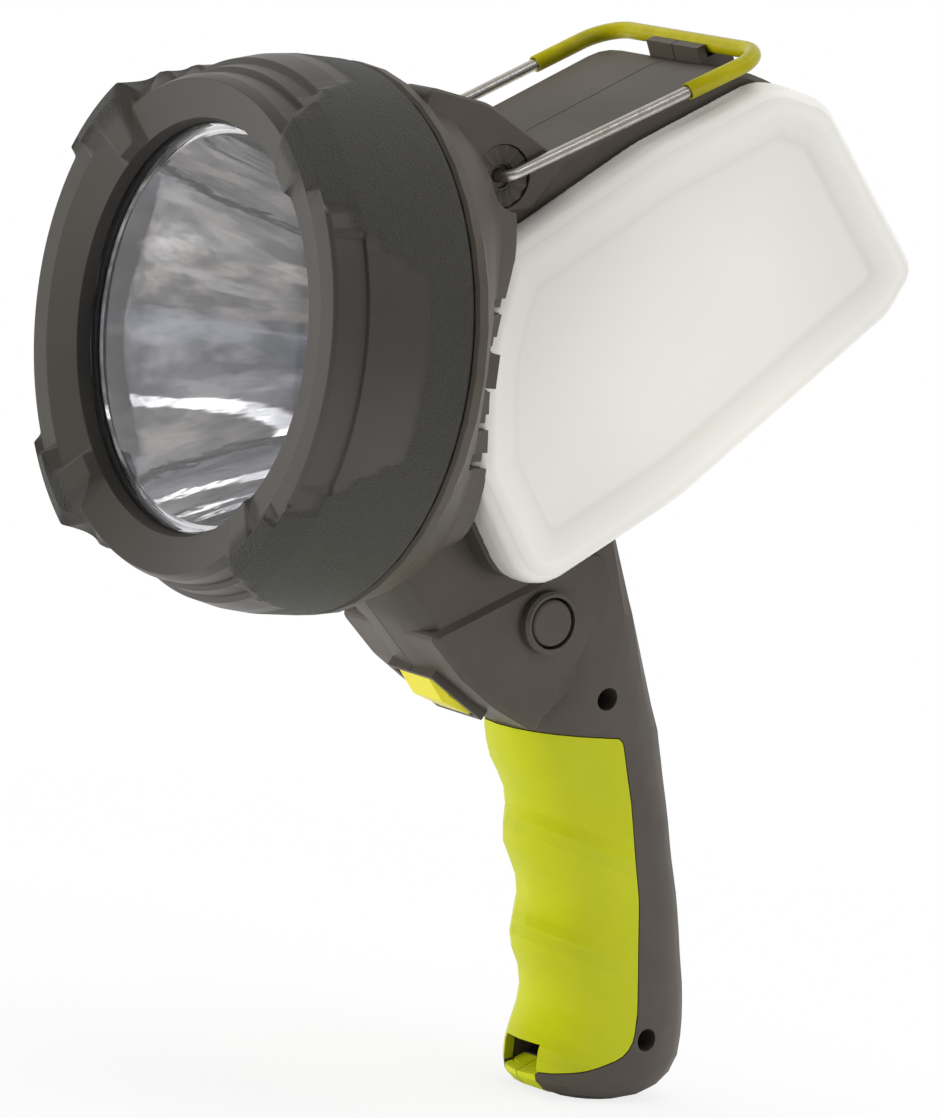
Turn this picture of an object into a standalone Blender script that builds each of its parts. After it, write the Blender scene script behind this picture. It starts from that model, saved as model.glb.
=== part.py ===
"""Handheld searchlight with an area lantern on each flank, in metres, +Z up.

The origin is the centre of the clear lens's front face. The beam leaves along -Y and the
flank with the push button faces +X. The two housing shells meet on the plane X = 0.
"""

import math

import bmesh
import bpy
from mathutils import Vector

# Clearances and shared walls
CLEARANCE = 0.0003
OVERRUN = 0.03
WELD = 0.000002
SMOOTH_DEGREES = 32.0
FILLET_ROOM_SHARE = 0.48
FILLET_LEAST_SHARE = 0.25
SHELL_WALL = 0.0024
BORE_CLEARANCE = 0.00025

# Head: the bezel, the clear lens and what is behind it
LENS_RADIUS = 0.051
LENS_THICKNESS = 0.0025
LENS_STEP = 0.0006
BEZEL_BORDER = 0.0151
HEAD_RADIUS = LENS_RADIUS + BEZEL_BORDER
BEZEL_FRONT_Y = -0.009
BEZEL_LENGTH = 0.041
BEZEL_LIP = 0.0028
BEZEL_LIP_RADIUS = LENS_RADIUS - BEZEL_LIP
BEZEL_WALL = 0.0051
BEZEL_THREAD_RADIUS = HEAD_RADIUS - BEZEL_WALL
BEZEL_FLANK_DEGREES = 3.2
BEZEL_SHOULDER_DEGREES = 12.0
BEZEL_SHOULDER_SHARE = 0.7
BEZEL_FACE_DEGREES = (44.0, 57.0)
BEZEL_INNER_DEGREES = (30.0, 60.0)
BEZEL_ARC_STEPS = 4
GASKET_WIDTH = 0.0032
GASKET_THICKNESS = 0.0010
REFLECTOR_FLANGE_WIDTH = 0.0045
REFLECTOR_MOUTH_RADIUS = LENS_RADIUS - REFLECTOR_FLANGE_WIDTH
REFLECTOR_FLANGE_THICKNESS = 0.0015
REFLECTOR_WALL = 0.0014
REFLECTOR_DEPTH = 0.040
REFLECTOR_NECK_RADIUS = 0.0085
REFLECTOR_ROW_SHARES = (0.0, 0.20, 0.40, 0.60, 0.76, 0.89, 1.0)
BEAM_BOARD_RADIUS = 0.0125
BEAM_BOARD_THICKNESS = 0.0016
BEAM_LED_SIDE = 0.0070
BEAM_LED_THICKNESS = 0.0012
BEAM_DOME_RADIUS = 0.0027
HEAT_SINK_RADIUS = 0.0165
HEAT_SINK_PLATE = 0.0030
HEAT_SINK_FIN_DEPTH = 0.0105
HEAT_SINK_FIN_THICKNESS = 0.0014
HEAT_SINK_FINS = 5
SPIGOT_WALL = 0.0030
SPIGOT_LENGTH = 0.016
SINK_RIB_HALF_WIDTH = 0.004
MOUTH_SHARES = (0.33, 0.93)

# Neck: it runs from the ring behind the bezel to the rounded square ahead of the lanterns
RING_SETBACK = 0.0001
RING_RADIUS = HEAD_RADIUS - RING_SETBACK
NECK_LENGTH = 0.0284
NECK_END_HALF_WIDTH = 0.0372
NECK_END_HALF_HEIGHT = 0.0462
NECK_RIM_OVERLAP = 0.0031
NECK_HOLLOW_SETBACK = 0.0035
VENT_SLOTS = 5
VENT_PITCH = 0.00915
VENT_HEIGHT = 0.0038
VENT_FRONT_Y = 0.0495
VENT_GROOVE_DEPTH = 0.0012
VENT_SLIT_HEIGHT = 0.0012
VENT_INNER_X = 0.0300
VENT_CENTRE_Z = -0.0042

# Lanterns
LANTERN_FRONT_Y = 0.0613
LANTERN_LENGTH = 0.1206
LANTERN_BOTTOM_Z = -0.0520
LANTERN_HEIGHT = 0.1252
CORE_HALF_WIDTH = 0.0258
DIFFUSER_HALF_SPAN = 0.0372
DIFFUSER_WALL = 0.0018
DIFFUSER_EDGE_ROUND = 0.0056
DIFFUSER_RIM_WIDTH = 0.0075
DIFFUSER_DISH = 0.0011
DIFFUSER_DISH_SHARES = (0.4, 0.6)
TRAY_RIM = 0.0034
TRAY_DEPTH = 0.0060
LANTERN_BOARD_THICKNESS = 0.0014
LANTERN_LED_SIDE = 0.0030
LANTERN_LED_THICKNESS = 0.0008
LANTERN_LED_ROWS = 3
LANTERN_LED_COLUMNS = 6
LANTERN_LED_CENTRE_SHARES = (0.46, 0.53)
LANTERN_LED_SPREAD_SHARES = (0.50, 0.30)

# Lower body, side panels, trigger and push button
BODY_HALF_WIDTH = 0.0188
BODY_EDGE_ROUND = 0.0040
BODY_FACE_STEPS = 3
PANEL_HALF_WIDTH = 0.0202
PANEL_EDGE_ROUND = 0.0014
BUTTON_Y = 0.0962
BUTTON_Z = -0.0624
BUTTON_RADIUS = 0.0058
BUTTON_GAP = 0.0006
BUTTON_STEM_RADIUS = 0.0026
BUTTON_FLANGE_RADIUS = 0.0072
BUTTON_FLANGE_THICKNESS = 0.0012
BUTTON_TRAVEL = 0.0012
COLLAR_RADIUS = 0.0078
COLLAR_HEIGHT = 0.0030
BUTTON_SWITCH_SIDE = 0.0062
BUTTON_SWITCH_DEPTH = 0.0034
BUTTON_BOARD_SIDE = 0.015
BUTTON_BOARD_THICKNESS = 0.0014
TRIGGER_FRONT_Y = 0.0746
TRIGGER_FRONT_Z = -0.0784
TRIGGER_LENGTH = 0.0160
TRIGGER_SLOPE_DEGREES = 31.0
TRIGGER_HALF_WIDTH = 0.0078
TRIGGER_BULGE = 0.0037
TRIGGER_CHAMFER = 0.0016
TRIGGER_NOSE_SHARES = (0.40, 0.45, 0.46)
TRIGGER_DEPTH = 0.0072
TRIGGER_TRAVEL = 0.0025
TRIGGER_FLANGE = 0.0016
TRIGGER_FLANGE_THICKNESS = 0.0014
TRIGGER_FRAME_HEIGHT = 0.0016
TRIGGER_FRAME_WALL = 0.0013
TRIGGER_SWITCH_LENGTH = 0.0128
TRIGGER_SWITCH_WIDTH = 0.0058
TRIGGER_SWITCH_HEIGHT = 0.0065

# Handle, grip sleeve and strap slot
HANDLE_TOP_Z = -0.060
HANDLE_HEIGHT = 0.1224
HANDLE_HALF_WIDTH = 0.0166
HANDLE_FRONT_Y = 0.1000
HANDLE_REACH = 0.0660
HANDLE_SECTION_POWER = 2.35
GRIP_THICKNESS = 0.0026
GRIP_TOP_Z = -0.0908
GRIP_HEIGHT = 0.0900
GRIP_LENGTH = 0.0443
HANDLE_WALL = 0.0020
SLOT_HALF_WIDTH = 0.0069
SLOT_SETBACK = 0.0004
SLOT_TOP_Z = -0.1697
SLOT_DEPTH = 0.0152
SLOT_HEIGHT = 0.0083

# Wire bail
PIVOT_Y = 0.0605
PIVOT_Z = 0.0437
WIRE_RADIUS = 0.00145
BAIL_LEG_LENGTH = 0.0784
BAIL_ANGLE_DEGREES = 27.2
BAIL_PIVOT_HALF_WIDTH = 0.0298
BAIL_BAR_HALF_WIDTH = 0.0322
BAIL_CORNER_RADIUS = 0.0090
BAIL_END_RADIUS = 0.0030
BAIL_PIN_INNER_X = 0.0190
SLEEVE_RADIUS = 0.00215
SLEEVE_CLEARANCE = 0.0002
SLEEVE_LEG_COVER = 0.0245
EAR_OUTER_X = 0.0278
EAR_INNER_X = 0.0170
PIVOT_CUP_RADIUS = 0.0078
PIVOT_CUP_DEPTH = 0.0021
DETENT_RING_DEPTH = 0.0015
DETENT_RIBS = 14
DETENT_RIB_HEIGHT = 0.0007
DETENT_BORE_RADIUS = 0.0030
DETENT_RIB_START_SHARES = (1.12, 1.22)
CLIP_HALF_WIDTH = 0.0104
CLIP_WALL = 0.0024
CLIP_FLOOR = 0.0030
CLIP_LIP = 0.0009

# Battery, boards, charging inlet and screws
CELL_RADIUS = 0.0092
CELL_STEPS = 28
CELL_LENGTH = 0.0650
CELL_CAP_RADIUS = 0.0032
CELL_CAP_HEIGHT = 0.0008
CELL_BOTTOM_Z = -0.1596
CELL_ACROSS_SHARES = (0.444, 0.566)
MAIN_BOARD_LENGTH = 0.0520
MAIN_BOARD_HEIGHT = 0.0300
MAIN_BOARD_THICKNESS = 0.0016
MAIN_BOARD_Y = 0.1050
MAIN_BOARD_Z = 0.0080
MAIN_CHIP_HEIGHT = 0.0040
MAIN_BOARD_POST_INSET = 0.0060
POST_RADIUS = 0.0012
SWITCH_POST_SHARE = 0.25
MAIN_CHIP_SHARES = (0.25, 0.68)
INLET_STAND = 0.0002
INLET_Z = -0.1020
INLET_RADIUS = 0.0043
INLET_LENGTH = 0.0085
INLET_BORE_RADIUS = 0.0029
INLET_BORE_DEPTH = 0.0070
INLET_PIN_RADIUS = 0.0007
SCREW_HEAD_RADIUS = 0.0026
SCREW_HEAD_HEIGHT = 0.0018
SCREW_SHANK_RADIUS = 0.0013
SCREW_LENGTH = 0.0140
SCREW_SOCKET_RADIUS = 0.0011
SCREW_SOCKET_DEPTH = 0.0011
SCREW_HEAD_SHARES = (0.6, 0.7)
SCREW_POCKET_RADIUS = 0.0029
SCREW_POCKET_FLOOR_X = 0.0080
SCREW_BOSS_WALL = 0.0016
LANTERN_SCREW_FLOOR_X = 0.0130

# Heights of the handle's screws with their share of the way from its front to its rear edge,
# and places of the lantern's screws as shares of its length and height
UPPER_SCREW_Z = -0.0811
LOWER_SCREW_Z = -0.1664
HANDLE_SCREW_SHARES = (0.484, 0.586)
LANTERN_SCREW_SHARES = ((0.109, 0.176), (0.835, 0.695))

# Each bezel row: lug (y, r), side window (y, r), top window (y, r) as shares of the
# bezel's length and of the head's radius, then the two angles where the lug starts and ends
BEZEL_OUTER_SHARES = (
    ((0.083, 0.7595), (0.073, 0.8775), (0.073, 0.8775), 43.0, 58.5),
    ((0.004, 0.9300), (0.068, 0.9592), (0.107, 0.8896), 35.5, 59.5),
    ((0.037, 0.9860), (0.088, 0.9728), (0.139, 0.8986), 31.0, 61.0),
    ((0.256, 1.0000), (0.268, 0.9773), (0.278, 0.9092), 25.6, 66.0),
    ((0.283, 1.0000), (0.276, 0.9924), (0.284, 0.9289), 25.0, 66.6),
    ((0.400, 1.0000), (0.400, 0.9968), (0.401, 0.9470), 21.6, 70.0),
    ((0.410, 1.0000), (0.409, 0.9974), (0.408, 0.9682), 21.0, 70.6),
    ((0.561, 1.0000), (0.561, 0.9990), (0.561, 0.9910), 18.0, 73.0),
    ((0.707, 1.0000), (0.707, 1.0000), (0.707, 1.0000), 16.5, 74.0),
    ((0.955, 0.9985), (0.955, 0.9985), (0.955, 0.9985), 16.5, 74.0),
    ((0.990, 0.9864), (0.990, 0.9864), (0.990, 0.9864), 16.5, 74.0),
    ((1.000, 0.9710), (1.000, 0.9710), (1.000, 0.9710), 16.5, 74.0),
)
BEZEL_OPENING_SHARE = (0.144, 0.7413)
BEZEL_INNER_SHARES = ((0.561, 0.9228), (0.425, 0.8700))

# Neck sections: share of the neck's length, then shares of the way from the ring's radius
# down to the end's half width and half height, and the power of the section's outline
NECK_SHARES = (
    (0.000, -0.00, -0.00, 2.0, 0.985),
    (0.025, 0.00, 0.00, 2.0, 0.998),
    (0.110, 0.00, 0.00, 2.0, 0.996),
    (0.150, 0.00, 0.00, 2.0, 0.980),
    (0.200, 0.12, 0.08, 2.0, 0.985),
    (0.410, 0.38, 0.22, 2.3, 1.000),
    (0.620, 0.70, 0.48, 2.9, 1.000),
    (0.800, 0.92, 0.82, 3.8, 1.000),
    (1.000, 1.00, 1.00, 5.0, 1.000),
)

# Outlines of the milky covers and of the core between them: corners as shares of the lantern's
# length and height, each with its fillet's radius as a share of the height. On top the core
# stands over the covers; at the rear and below they are level
LANTERN_CORNER_SHARES = (
    (-0.031, 0.624, 0.03), (0.304, 0.851, 0.50), (0.585, 1.000, 0.12), (0.724, 0.973, 0.08),
    (1.012, 0.665, 0.05), (0.958, 0.568, 0.06), (0.490, 0.181, 0.60), (0.148, -0.030, 0.09),
    (-0.031, 0.201, 0.06), (-0.072, 0.435, 0.60),
)
CORE_TOP_SHARES = ((-0.031, 0.718, 0.03), (0.530, 1.018, 0.20), (0.650, 0.992, 0.12), (0.730, 0.930, 0.08))

# Side view of the lower body, the raised side panel and the ears, as shares of the
# lantern's length from its front and of its height from its bottom, with fillet shares
BODY_CORNER_SHARES = (
    (-0.160, 0.220, 0.03), (-0.140, 0.010, 0.02), (-0.030, -0.090, 0.02),
    (0.100, -0.208, 0.03), (0.225, -0.280, 0.05), (0.332, -0.309, 0.01),
    (0.425, -0.214, 0.06), (0.420, -0.080, 0.10),
    (0.400, 0.130, 0.10), (0.080, 0.220, 0.05),
)
PANEL_CORNER_SHARES = (
    (0.012, -0.124, 0.015), (0.110, -0.206, 0.100), (0.200, -0.259, 0.200),
    (0.303, -0.302, 0.015), (0.392, -0.160, 0.020), (0.460, 0.000, 0.060),
    (0.400, 0.080, 0.060), (0.250, -0.010, 0.200),
)
EAR_CORNER_SHARES = (
    (-0.226, 0.830, 0.01), (-0.205, 0.918, 0.02), (-0.060, 0.898, 0.10),
    (0.068, 0.838, 0.06), (0.142, 0.796, 0.02), (0.072, 0.706, 0.04),
    (-0.012, 0.690, 0.03), (-0.105, 0.760, 0.03),
)

# Grip panel edge, as shares of the grip's length from the handle's front and of its height
GRIP_CORNER_SHARES = (
    (-0.30, 0.000, 0.00), (0.615, 0.000, 0.034), (0.735, 0.180, 0.20), (0.880, 0.450, 0.30),
    (0.975, 0.760, 0.20), (0.978, 0.880, 0.110), (0.700, 0.935, 0.20), (0.200, 0.985, 0.02),
    (-0.30, 1.040, 0.00),
)

# Strap bar: where its ramp starts and ends along the slot's depth, and the ramp's rise
STRAP_BAR_SHARES = (0.05, 0.54, 0.46)

# Handle side view from the top down: share of the height, then the front and the rear
# edges as shares of the reach, and the share of the half width
HANDLE_SHARES = (
    (-0.260, 0.000, 0.190, 1.20), (-0.130, 0.000, 0.318, 1.21), (0.000, 0.000, 0.450, 1.21),
    (0.110, 0.000, 0.552, 1.15), (0.190, 0.000, 0.632, 1.07), (0.240, 0.006, 0.688, 1.01),
    (0.268, 0.010, 0.706, 1.00), (0.300, 0.028, 0.725, 1.00),
    (0.332, 0.056, 0.742, 1.00), (0.362, 0.100, 0.758, 1.00), (0.395, 0.142, 0.776, 1.00),
    (0.430, 0.160, 0.796, 1.00), (0.470, 0.161, 0.818, 1.00), (0.505, 0.170, 0.838, 1.00),
    (0.540, 0.212, 0.858, 1.00), (0.575, 0.252, 0.878, 1.00), (0.610, 0.268, 0.896, 1.00),
    (0.650, 0.262, 0.917, 1.00), (0.690, 0.256, 0.936, 1.00), (0.725, 0.276, 0.952, 1.00),
    (0.760, 0.318, 0.967, 1.00), (0.800, 0.338, 0.980, 1.00), (0.835, 0.334, 0.990, 1.00),
    (0.870, 0.316, 0.996, 1.00), (0.910, 0.300, 0.994, 1.00), (0.945, 0.302, 0.965, 0.98),
    (0.972, 0.318, 0.915, 0.93), (0.990, 0.360, 0.840, 0.84), (1.000, 0.430, 0.745, 0.70),
)


def clear_scene():
    for item in list(bpy.data.objects):
        bpy.data.objects.remove(item, do_unlink=True)


def material(name, colour, roughness, metallic=0.0):
    made = bpy.data.materials.get(name)
    if made:
        return made
    made = bpy.data.materials.new(name)
    made.use_nodes = True
    shader = made.node_tree.nodes["Principled BSDF"]
    shader.inputs["Base Color"].default_value = (*colour, 1.0)
    shader.inputs["Roughness"].default_value = roughness
    shader.inputs["Metallic"].default_value = metallic
    return made


def dark_housing():
    return material("housing_grey", (0.105, 0.098, 0.088), 0.55)


def dark_bezel():
    return material("bezel_charcoal", (0.075, 0.073, 0.066), 0.68)


def lime():
    return material("lime_rubber", (0.46, 0.50, 0.018), 0.50)


def olive():
    return material("sleeve_lime", (0.40, 0.40, 0.012), 0.35)


def milky():
    return material("diffuser_white", (0.80, 0.79, 0.75), 0.35)


def clear():
    return material("lens_clear", (0.95, 0.97, 0.98), 0.03)


def mirror_coat():
    return material("reflector_mirror", (0.90, 0.90, 0.91), 0.05, 1.0)


def steel():
    return material("wire_steel", (0.62, 0.60, 0.56), 0.28, 1.0)


def screw_steel():
    return material("screw_zinc", (0.45, 0.45, 0.44), 0.35, 1.0)


def black_rubber():
    return material("seal_black", (0.02, 0.02, 0.02), 0.75)


def aluminium():
    return material("sink_aluminium", (0.70, 0.71, 0.72), 0.40, 1.0)


def board_green():
    return material("board_green", (0.03, 0.16, 0.07), 0.45)


def board_white():
    return material("board_white", (0.78, 0.78, 0.75), 0.40)


def phosphor():
    return material("led_phosphor", (0.85, 0.62, 0.10), 0.30)


def cell_wrap():
    return material("cell_wrap", (0.05, 0.16, 0.38), 0.35)


def switch_black():
    return material("switch_black", (0.03, 0.03, 0.03), 0.45)


def build(name, points, faces, paint=None):
    """A mesh object with its faces turned outwards and its round stretches shaded smooth."""
    mesh = bpy.data.meshes.new(name)
    mesh.from_pydata([tuple(p) for p in points], [], faces)
    shape = bmesh.new()
    shape.from_mesh(mesh)
    bmesh.ops.recalc_face_normals(shape, faces=shape.faces[:])
    shape.to_mesh(mesh)
    shape.free()
    made = bpy.data.objects.new(name, mesh)
    bpy.context.scene.collection.objects.link(made)
    if paint:
        finish(made, paint)
    return made


def finish(made, paint):
    """Gives a finished piece its material and shades it smooth between sharp edges."""
    made.data.materials.clear()
    made.data.materials.append(paint)
    shape = bmesh.new()
    shape.from_mesh(made.data)
    for face in shape.faces:
        face.smooth = True
        face.material_index = 0
    for edge in shape.edges:
        angle = edge.calc_face_angle(math.pi)
        edge.smooth = angle < math.radians(SMOOTH_DEGREES)
    shape.to_mesh(made.data)
    shape.free()
    return made


def loft(name, rings, paint=None, closed=False):
    """Skins rings that hold equally many points. The ends are capped, or joined if closed."""
    count = len(rings[0])
    points = [point for ring in rings for point in ring]
    faces = []
    spans = len(rings) if closed else len(rings) - 1
    for row in range(spans):
        low, high = row * count, ((row + 1) % len(rings)) * count
        for i in range(count):
            j = (i + 1) % count
            faces.append((low + i, low + j, high + j, high + i))
    if not closed:
        faces.append(tuple(range(count)))
        faces.append(tuple(len(points) - count + i for i in range(count)))
    return build(name, points, faces, paint)


def circle_xz(y, radius, steps):
    turns = [math.tau * i / steps for i in range(steps)]
    return [(radius * math.cos(t), y, radius * math.sin(t)) for t in turns]


def turned(name, profile, paint=None, steps=40):
    """A ring turned about the Y axis from a closed profile of (y, radius) points."""
    return loft(name, [circle_xz(y, r, steps) for y, r in profile], paint, closed=True)


def disc(name, profile, paint=None, steps=40):
    """A solid turned about the Y axis, with a flat cap at each end of its profile."""
    return loft(name, [circle_xz(y, r, steps) for y, r in profile], paint)


def rod_x(name, centre, profile, paint=None, steps=24):
    """A solid turned about a line along X through centre (y, z), from (x, radius) points."""
    turns = [math.tau * i / steps for i in range(steps)]
    rings = [
        [(x, centre[0] + r * math.cos(t), centre[1] + r * math.sin(t)) for t in turns]
        for x, r in profile
    ]
    return loft(name, rings, paint)


def rod_y(name, centre, profile, paint=None, steps=24):
    """A solid turned about a line along Y through centre (x, z), from (y, radius) points."""
    rings = []
    for y, r in profile:
        rings.append([(x + centre[0], y, z + centre[1]) for x, y, z in circle_xz(y, r, steps)])
    return loft(name, rings, paint)


def box(name, low, high, paint=None):
    """A block between two opposite corners."""
    ring = ((0, 1), (1, 1), (1, 0), (0, 0))
    pick = (low, high)
    rings = [[(pick[a][0], pick[b][1], pick[c][2]) for a, b in ring] for c in (0, 1)]
    return loft(name, rings, paint)


def combine(target, other, operation):
    """Applies one exact Boolean and removes the other object."""
    tool = target.modifiers.new(operation.lower(), "BOOLEAN")
    tool.operation = operation
    tool.solver = "EXACT"
    tool.object = other
    bpy.context.view_layer.update()
    bpy.context.view_layer.objects.active = target
    bpy.ops.object.modifier_apply(modifier=tool.name)
    bpy.data.objects.remove(other, do_unlink=True)
    shape = bmesh.new()
    shape.from_mesh(target.data)
    bmesh.ops.remove_doubles(shape, verts=shape.verts[:], dist=WELD)
    bmesh.ops.dissolve_degenerate(shape, edges=shape.edges[:], dist=WELD)
    shape.to_mesh(target.data)
    shape.free()
    return target


def cut(target, other):
    return combine(target, other, "DIFFERENCE")


def add(target, other):
    return combine(target, other, "UNION")


def keep(target, other):
    return combine(target, other, "INTERSECT")


def copy_of(source, name):
    made = source.copy()
    made.data = source.data.copy()
    made.name = name
    bpy.context.scene.collection.objects.link(made)
    return made


def inset_corners(corners, inset):
    """Moves each edge of a clockwise or anticlockwise outline inwards by inset."""
    count = len(corners)
    area = sum(
        corners[i][0] * corners[(i + 1) % count][1] - corners[(i + 1) % count][0] * corners[i][1]
        for i in range(count)
    )
    turn = 1.0 if area > 0 else -1.0
    lines = []
    for i in range(count):
        start = Vector(corners[i][:2])
        along = (Vector(corners[(i + 1) % count][:2]) - start).normalized()
        inward = Vector((-along.y, along.x)) * turn
        lines.append((start + inward * inset, along))
    moved = []
    for i in range(count):
        (a, u), (b, v) = lines[i - 1], lines[i]
        cross = u.x * v.y - u.y * v.x
        reach = ((b - a).x * v.y - (b - a).y * v.x) / cross
        moved.append((*(a + u * reach), corners[i][2]))
    return moved


def rounded(corners, inset=0.0, steps=4):
    """Outline points of corners (y, z, fillet radius) after an inset, with arcs in the corners."""
    moved = inset_corners(corners, inset)
    outline = []
    for i, (y, z, fillet) in enumerate(moved):
        here = Vector((y, z))
        back = Vector(moved[i - 1][:2]) - here
        ahead = Vector(moved[(i + 1) % len(moved)][:2]) - here
        half = back.angle(ahead) / 2
        room = min(back.length, ahead.length) * FILLET_ROOM_SHARE
        radius = min(max(fillet - inset, fillet * FILLET_LEAST_SHARE), room * math.tan(half))
        tangent = radius / math.tan(half)
        back.normalize()
        ahead.normalize()
        middle = here + (back + ahead).normalized() * radius / math.sin(half)
        first = here + back * tangent - middle
        last = here + ahead * tangent - middle
        if radius == 0.0:
            outline.append(tuple(here))
            continue
        sweep = first.angle_signed(last)
        for step in range(steps + 1):
            turn = -sweep * step / steps
            outline.append((
                middle.x + first.x * math.cos(turn) - first.y * math.sin(turn),
                middle.y + first.x * math.sin(turn) + first.y * math.cos(turn),
            ))
    return outline


def pillow(name, corners, stations, paint=None, steps=4):
    """A solid whose (y, z) outline is inset by the second value at each X station."""
    rings = []
    for x, inset in stations:
        rings.append([(x, y, z) for y, z in rounded(corners, inset, steps)])
    return loft(name, rings, paint)


def slab(name, corners, low_x, high_x, paint=None, inset=0.0, steps=4):
    return pillow(name, corners, [(low_x, inset), (high_x, inset)], paint, steps)


def lantern_corners(shares):
    """Side-view corners in metres from shares of the lantern's length and height."""
    length, height = LANTERN_LENGTH, LANTERN_HEIGHT
    return [
        (LANTERN_FRONT_Y + y * length, LANTERN_BOTTOM_Z + z * height, r * height) for y, z, r in shares
    ]


def core_corners():
    """Side-view corners of the core: the covers' outline with a higher top."""
    return lantern_corners(CORE_TOP_SHARES + LANTERN_CORNER_SHARES[4:])


def bezel():
    """The rubbery front ring: one skin whose profile changes between window and lug."""
    def place(share):
        return (BEZEL_FRONT_Y + share[0] * BEZEL_LENGTH, share[1] * HEAD_RADIUS)

    pocket = LENS_RADIUS + CLEARANCE
    seat_y = GASKET_THICKNESS + LENS_THICKNESS + 3 * CLEARANCE
    lip_y = LENS_STEP - CLEARANCE
    same = [(lip_y, BEZEL_LIP_RADIUS), place(BEZEL_OPENING_SHARE)]
    rows = [((p, p, p), *BEZEL_FACE_DEGREES) for p in same]
    for lug, side, top, first, last in BEZEL_OUTER_SHARES:
        rows.append(((place(lug), place(side), place(top)), first, last))
    inner = [(BEZEL_FRONT_Y + BEZEL_LENGTH, BEZEL_THREAD_RADIUS)]
    inner += [place(share) for share in BEZEL_INNER_SHARES]
    inner += [(seat_y, pocket), (lip_y, pocket)]
    rows += [((p, p, p), *BEZEL_INNER_DEGREES) for p in inner]
    fractions = [i / BEZEL_ARC_STEPS for i in range(BEZEL_ARC_STEPS + 1)]
    part = BEZEL_SHOULDER_SHARE
    rings = []
    for (lug, side, top), first, last in rows:
        start, crest = first + BEZEL_FLANK_DEGREES, last - BEZEL_SHOULDER_DEGREES
        shoulder = tuple(part * a + (1 - part) * b for a, b in zip(lug, top))
        quarter = [(first * t, side) for t in fractions]
        quarter += [(start + (crest - start) * t, lug) for t in fractions]
        quarter += [((crest + last) / 2, shoulder)]
        quarter += [(last + (90.0 - last) * t, top) for t in fractions]
        half = quarter + [(180.0 - a, p) for a, p in reversed(quarter[:-1])]
        whole = half + [(360.0 - a, p) for a, p in reversed(half[1:-1])]
        rings.append([
            (r * math.cos(math.radians(a)), y, r * math.sin(math.radians(a)))
            for a, (y, r) in whole
        ])
    return loft("bezel", rings, dark_bezel(), closed=True)


def lens():
    """The clear disc, its edge stepped back so that the bezel's lip holds it and its face is free."""
    face = BEZEL_LIP_RADIUS - CLEARANCE
    return disc("lens", [
        (0.0, face), (LENS_STEP, face), (LENS_STEP, LENS_RADIUS), (LENS_THICKNESS, LENS_RADIUS),
    ], clear())


def reflector_front_y():
    return LENS_THICKNESS + GASKET_THICKNESS + 2 * CLEARANCE


def lens_gasket():
    front = LENS_THICKNESS + CLEARANCE
    rear = front + GASKET_THICKNESS
    inner = LENS_RADIUS - GASKET_WIDTH
    return turned("lens_gasket", [
        (front, inner), (front, LENS_RADIUS), (rear, LENS_RADIUS), (rear, inner),
    ], black_rubber())


def bowl_radius(y):
    """Radius of the reflector's mirror at y: a parabola through its mouth and its neck."""
    depth = y - reflector_front_y()
    mouth, neck = REFLECTOR_MOUTH_RADIUS ** 2, REFLECTOR_NECK_RADIUS ** 2
    return math.sqrt(mouth + (neck - mouth) * depth / REFLECTOR_DEPTH)


def reflector():
    """The mirrored bowl: a parabola through the mouth and the neck, with a flange in front."""
    front = reflector_front_y()
    depths = [front + REFLECTOR_DEPTH * t for t in REFLECTOR_ROW_SHARES]
    inside = [(y, bowl_radius(y)) for y in depths]
    outside = [
        (y, bowl_radius(y) + REFLECTOR_WALL) for y in reversed(depths)
        if y > front + REFLECTOR_FLANGE_THICKNESS
    ]
    flange = [
        (front + REFLECTOR_FLANGE_THICKNESS, REFLECTOR_MOUTH_RADIUS + REFLECTOR_WALL),
        (front + REFLECTOR_FLANGE_THICKNESS, LENS_RADIUS), (front, LENS_RADIUS),
    ]
    return turned("reflector", inside + outside + flange, mirror_coat())


def beam_board_y():
    return reflector_front_y() + REFLECTOR_DEPTH + CLEARANCE


def beam_led_board():
    y = beam_board_y()
    return disc("beam_led_board", [
        (y, BEAM_BOARD_RADIUS), (y + BEAM_BOARD_THICKNESS, BEAM_BOARD_RADIUS),
    ], board_white(), 36)


def beam_led():
    """The emitter: a square base with a clear dome, standing in the reflector's neck."""
    rear = beam_board_y() - CLEARANCE
    front = rear - BEAM_LED_THICKNESS
    half = BEAM_LED_SIDE / 2
    made = box("beam_led", (-half, front, -half), (half, rear, half))
    arcs = [math.pi / 2 * i / 5 for i in range(5)]
    radius = BEAM_DOME_RADIUS
    dome = [(front - radius * math.sin(t), radius * math.cos(t)) for t in reversed(arcs)]
    add(made, disc("dome", dome + [(front + BEAM_LED_THICKNESS / 2, radius)], None, 20))
    return finish(made, phosphor())


def heat_sink():
    """A turned plate with flat fins on its back; ribs of the shells hold its rim."""
    front = beam_board_y() + BEAM_BOARD_THICKNESS + CLEARANCE
    plate = front + HEAT_SINK_PLATE
    made = disc("heat_sink", [(front, HEAT_SINK_RADIUS), (plate, HEAT_SINK_RADIUS)], None, 40)
    pitch = 2 * HEAT_SINK_RADIUS / HEAT_SINK_FINS
    for i in range(HEAT_SINK_FINS):
        x = (i - (HEAT_SINK_FINS - 1) / 2) * pitch
        reach = math.sqrt(HEAT_SINK_RADIUS ** 2 - (abs(x) + HEAT_SINK_FIN_THICKNESS) ** 2)
        half = HEAT_SINK_FIN_THICKNESS / 2
        low, high = (x - half, plate - half, -reach), (x + half, plate + HEAT_SINK_FIN_DEPTH, reach)
        add(made, box("fin", low, high))
    return finish(made, aluminium())


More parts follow.
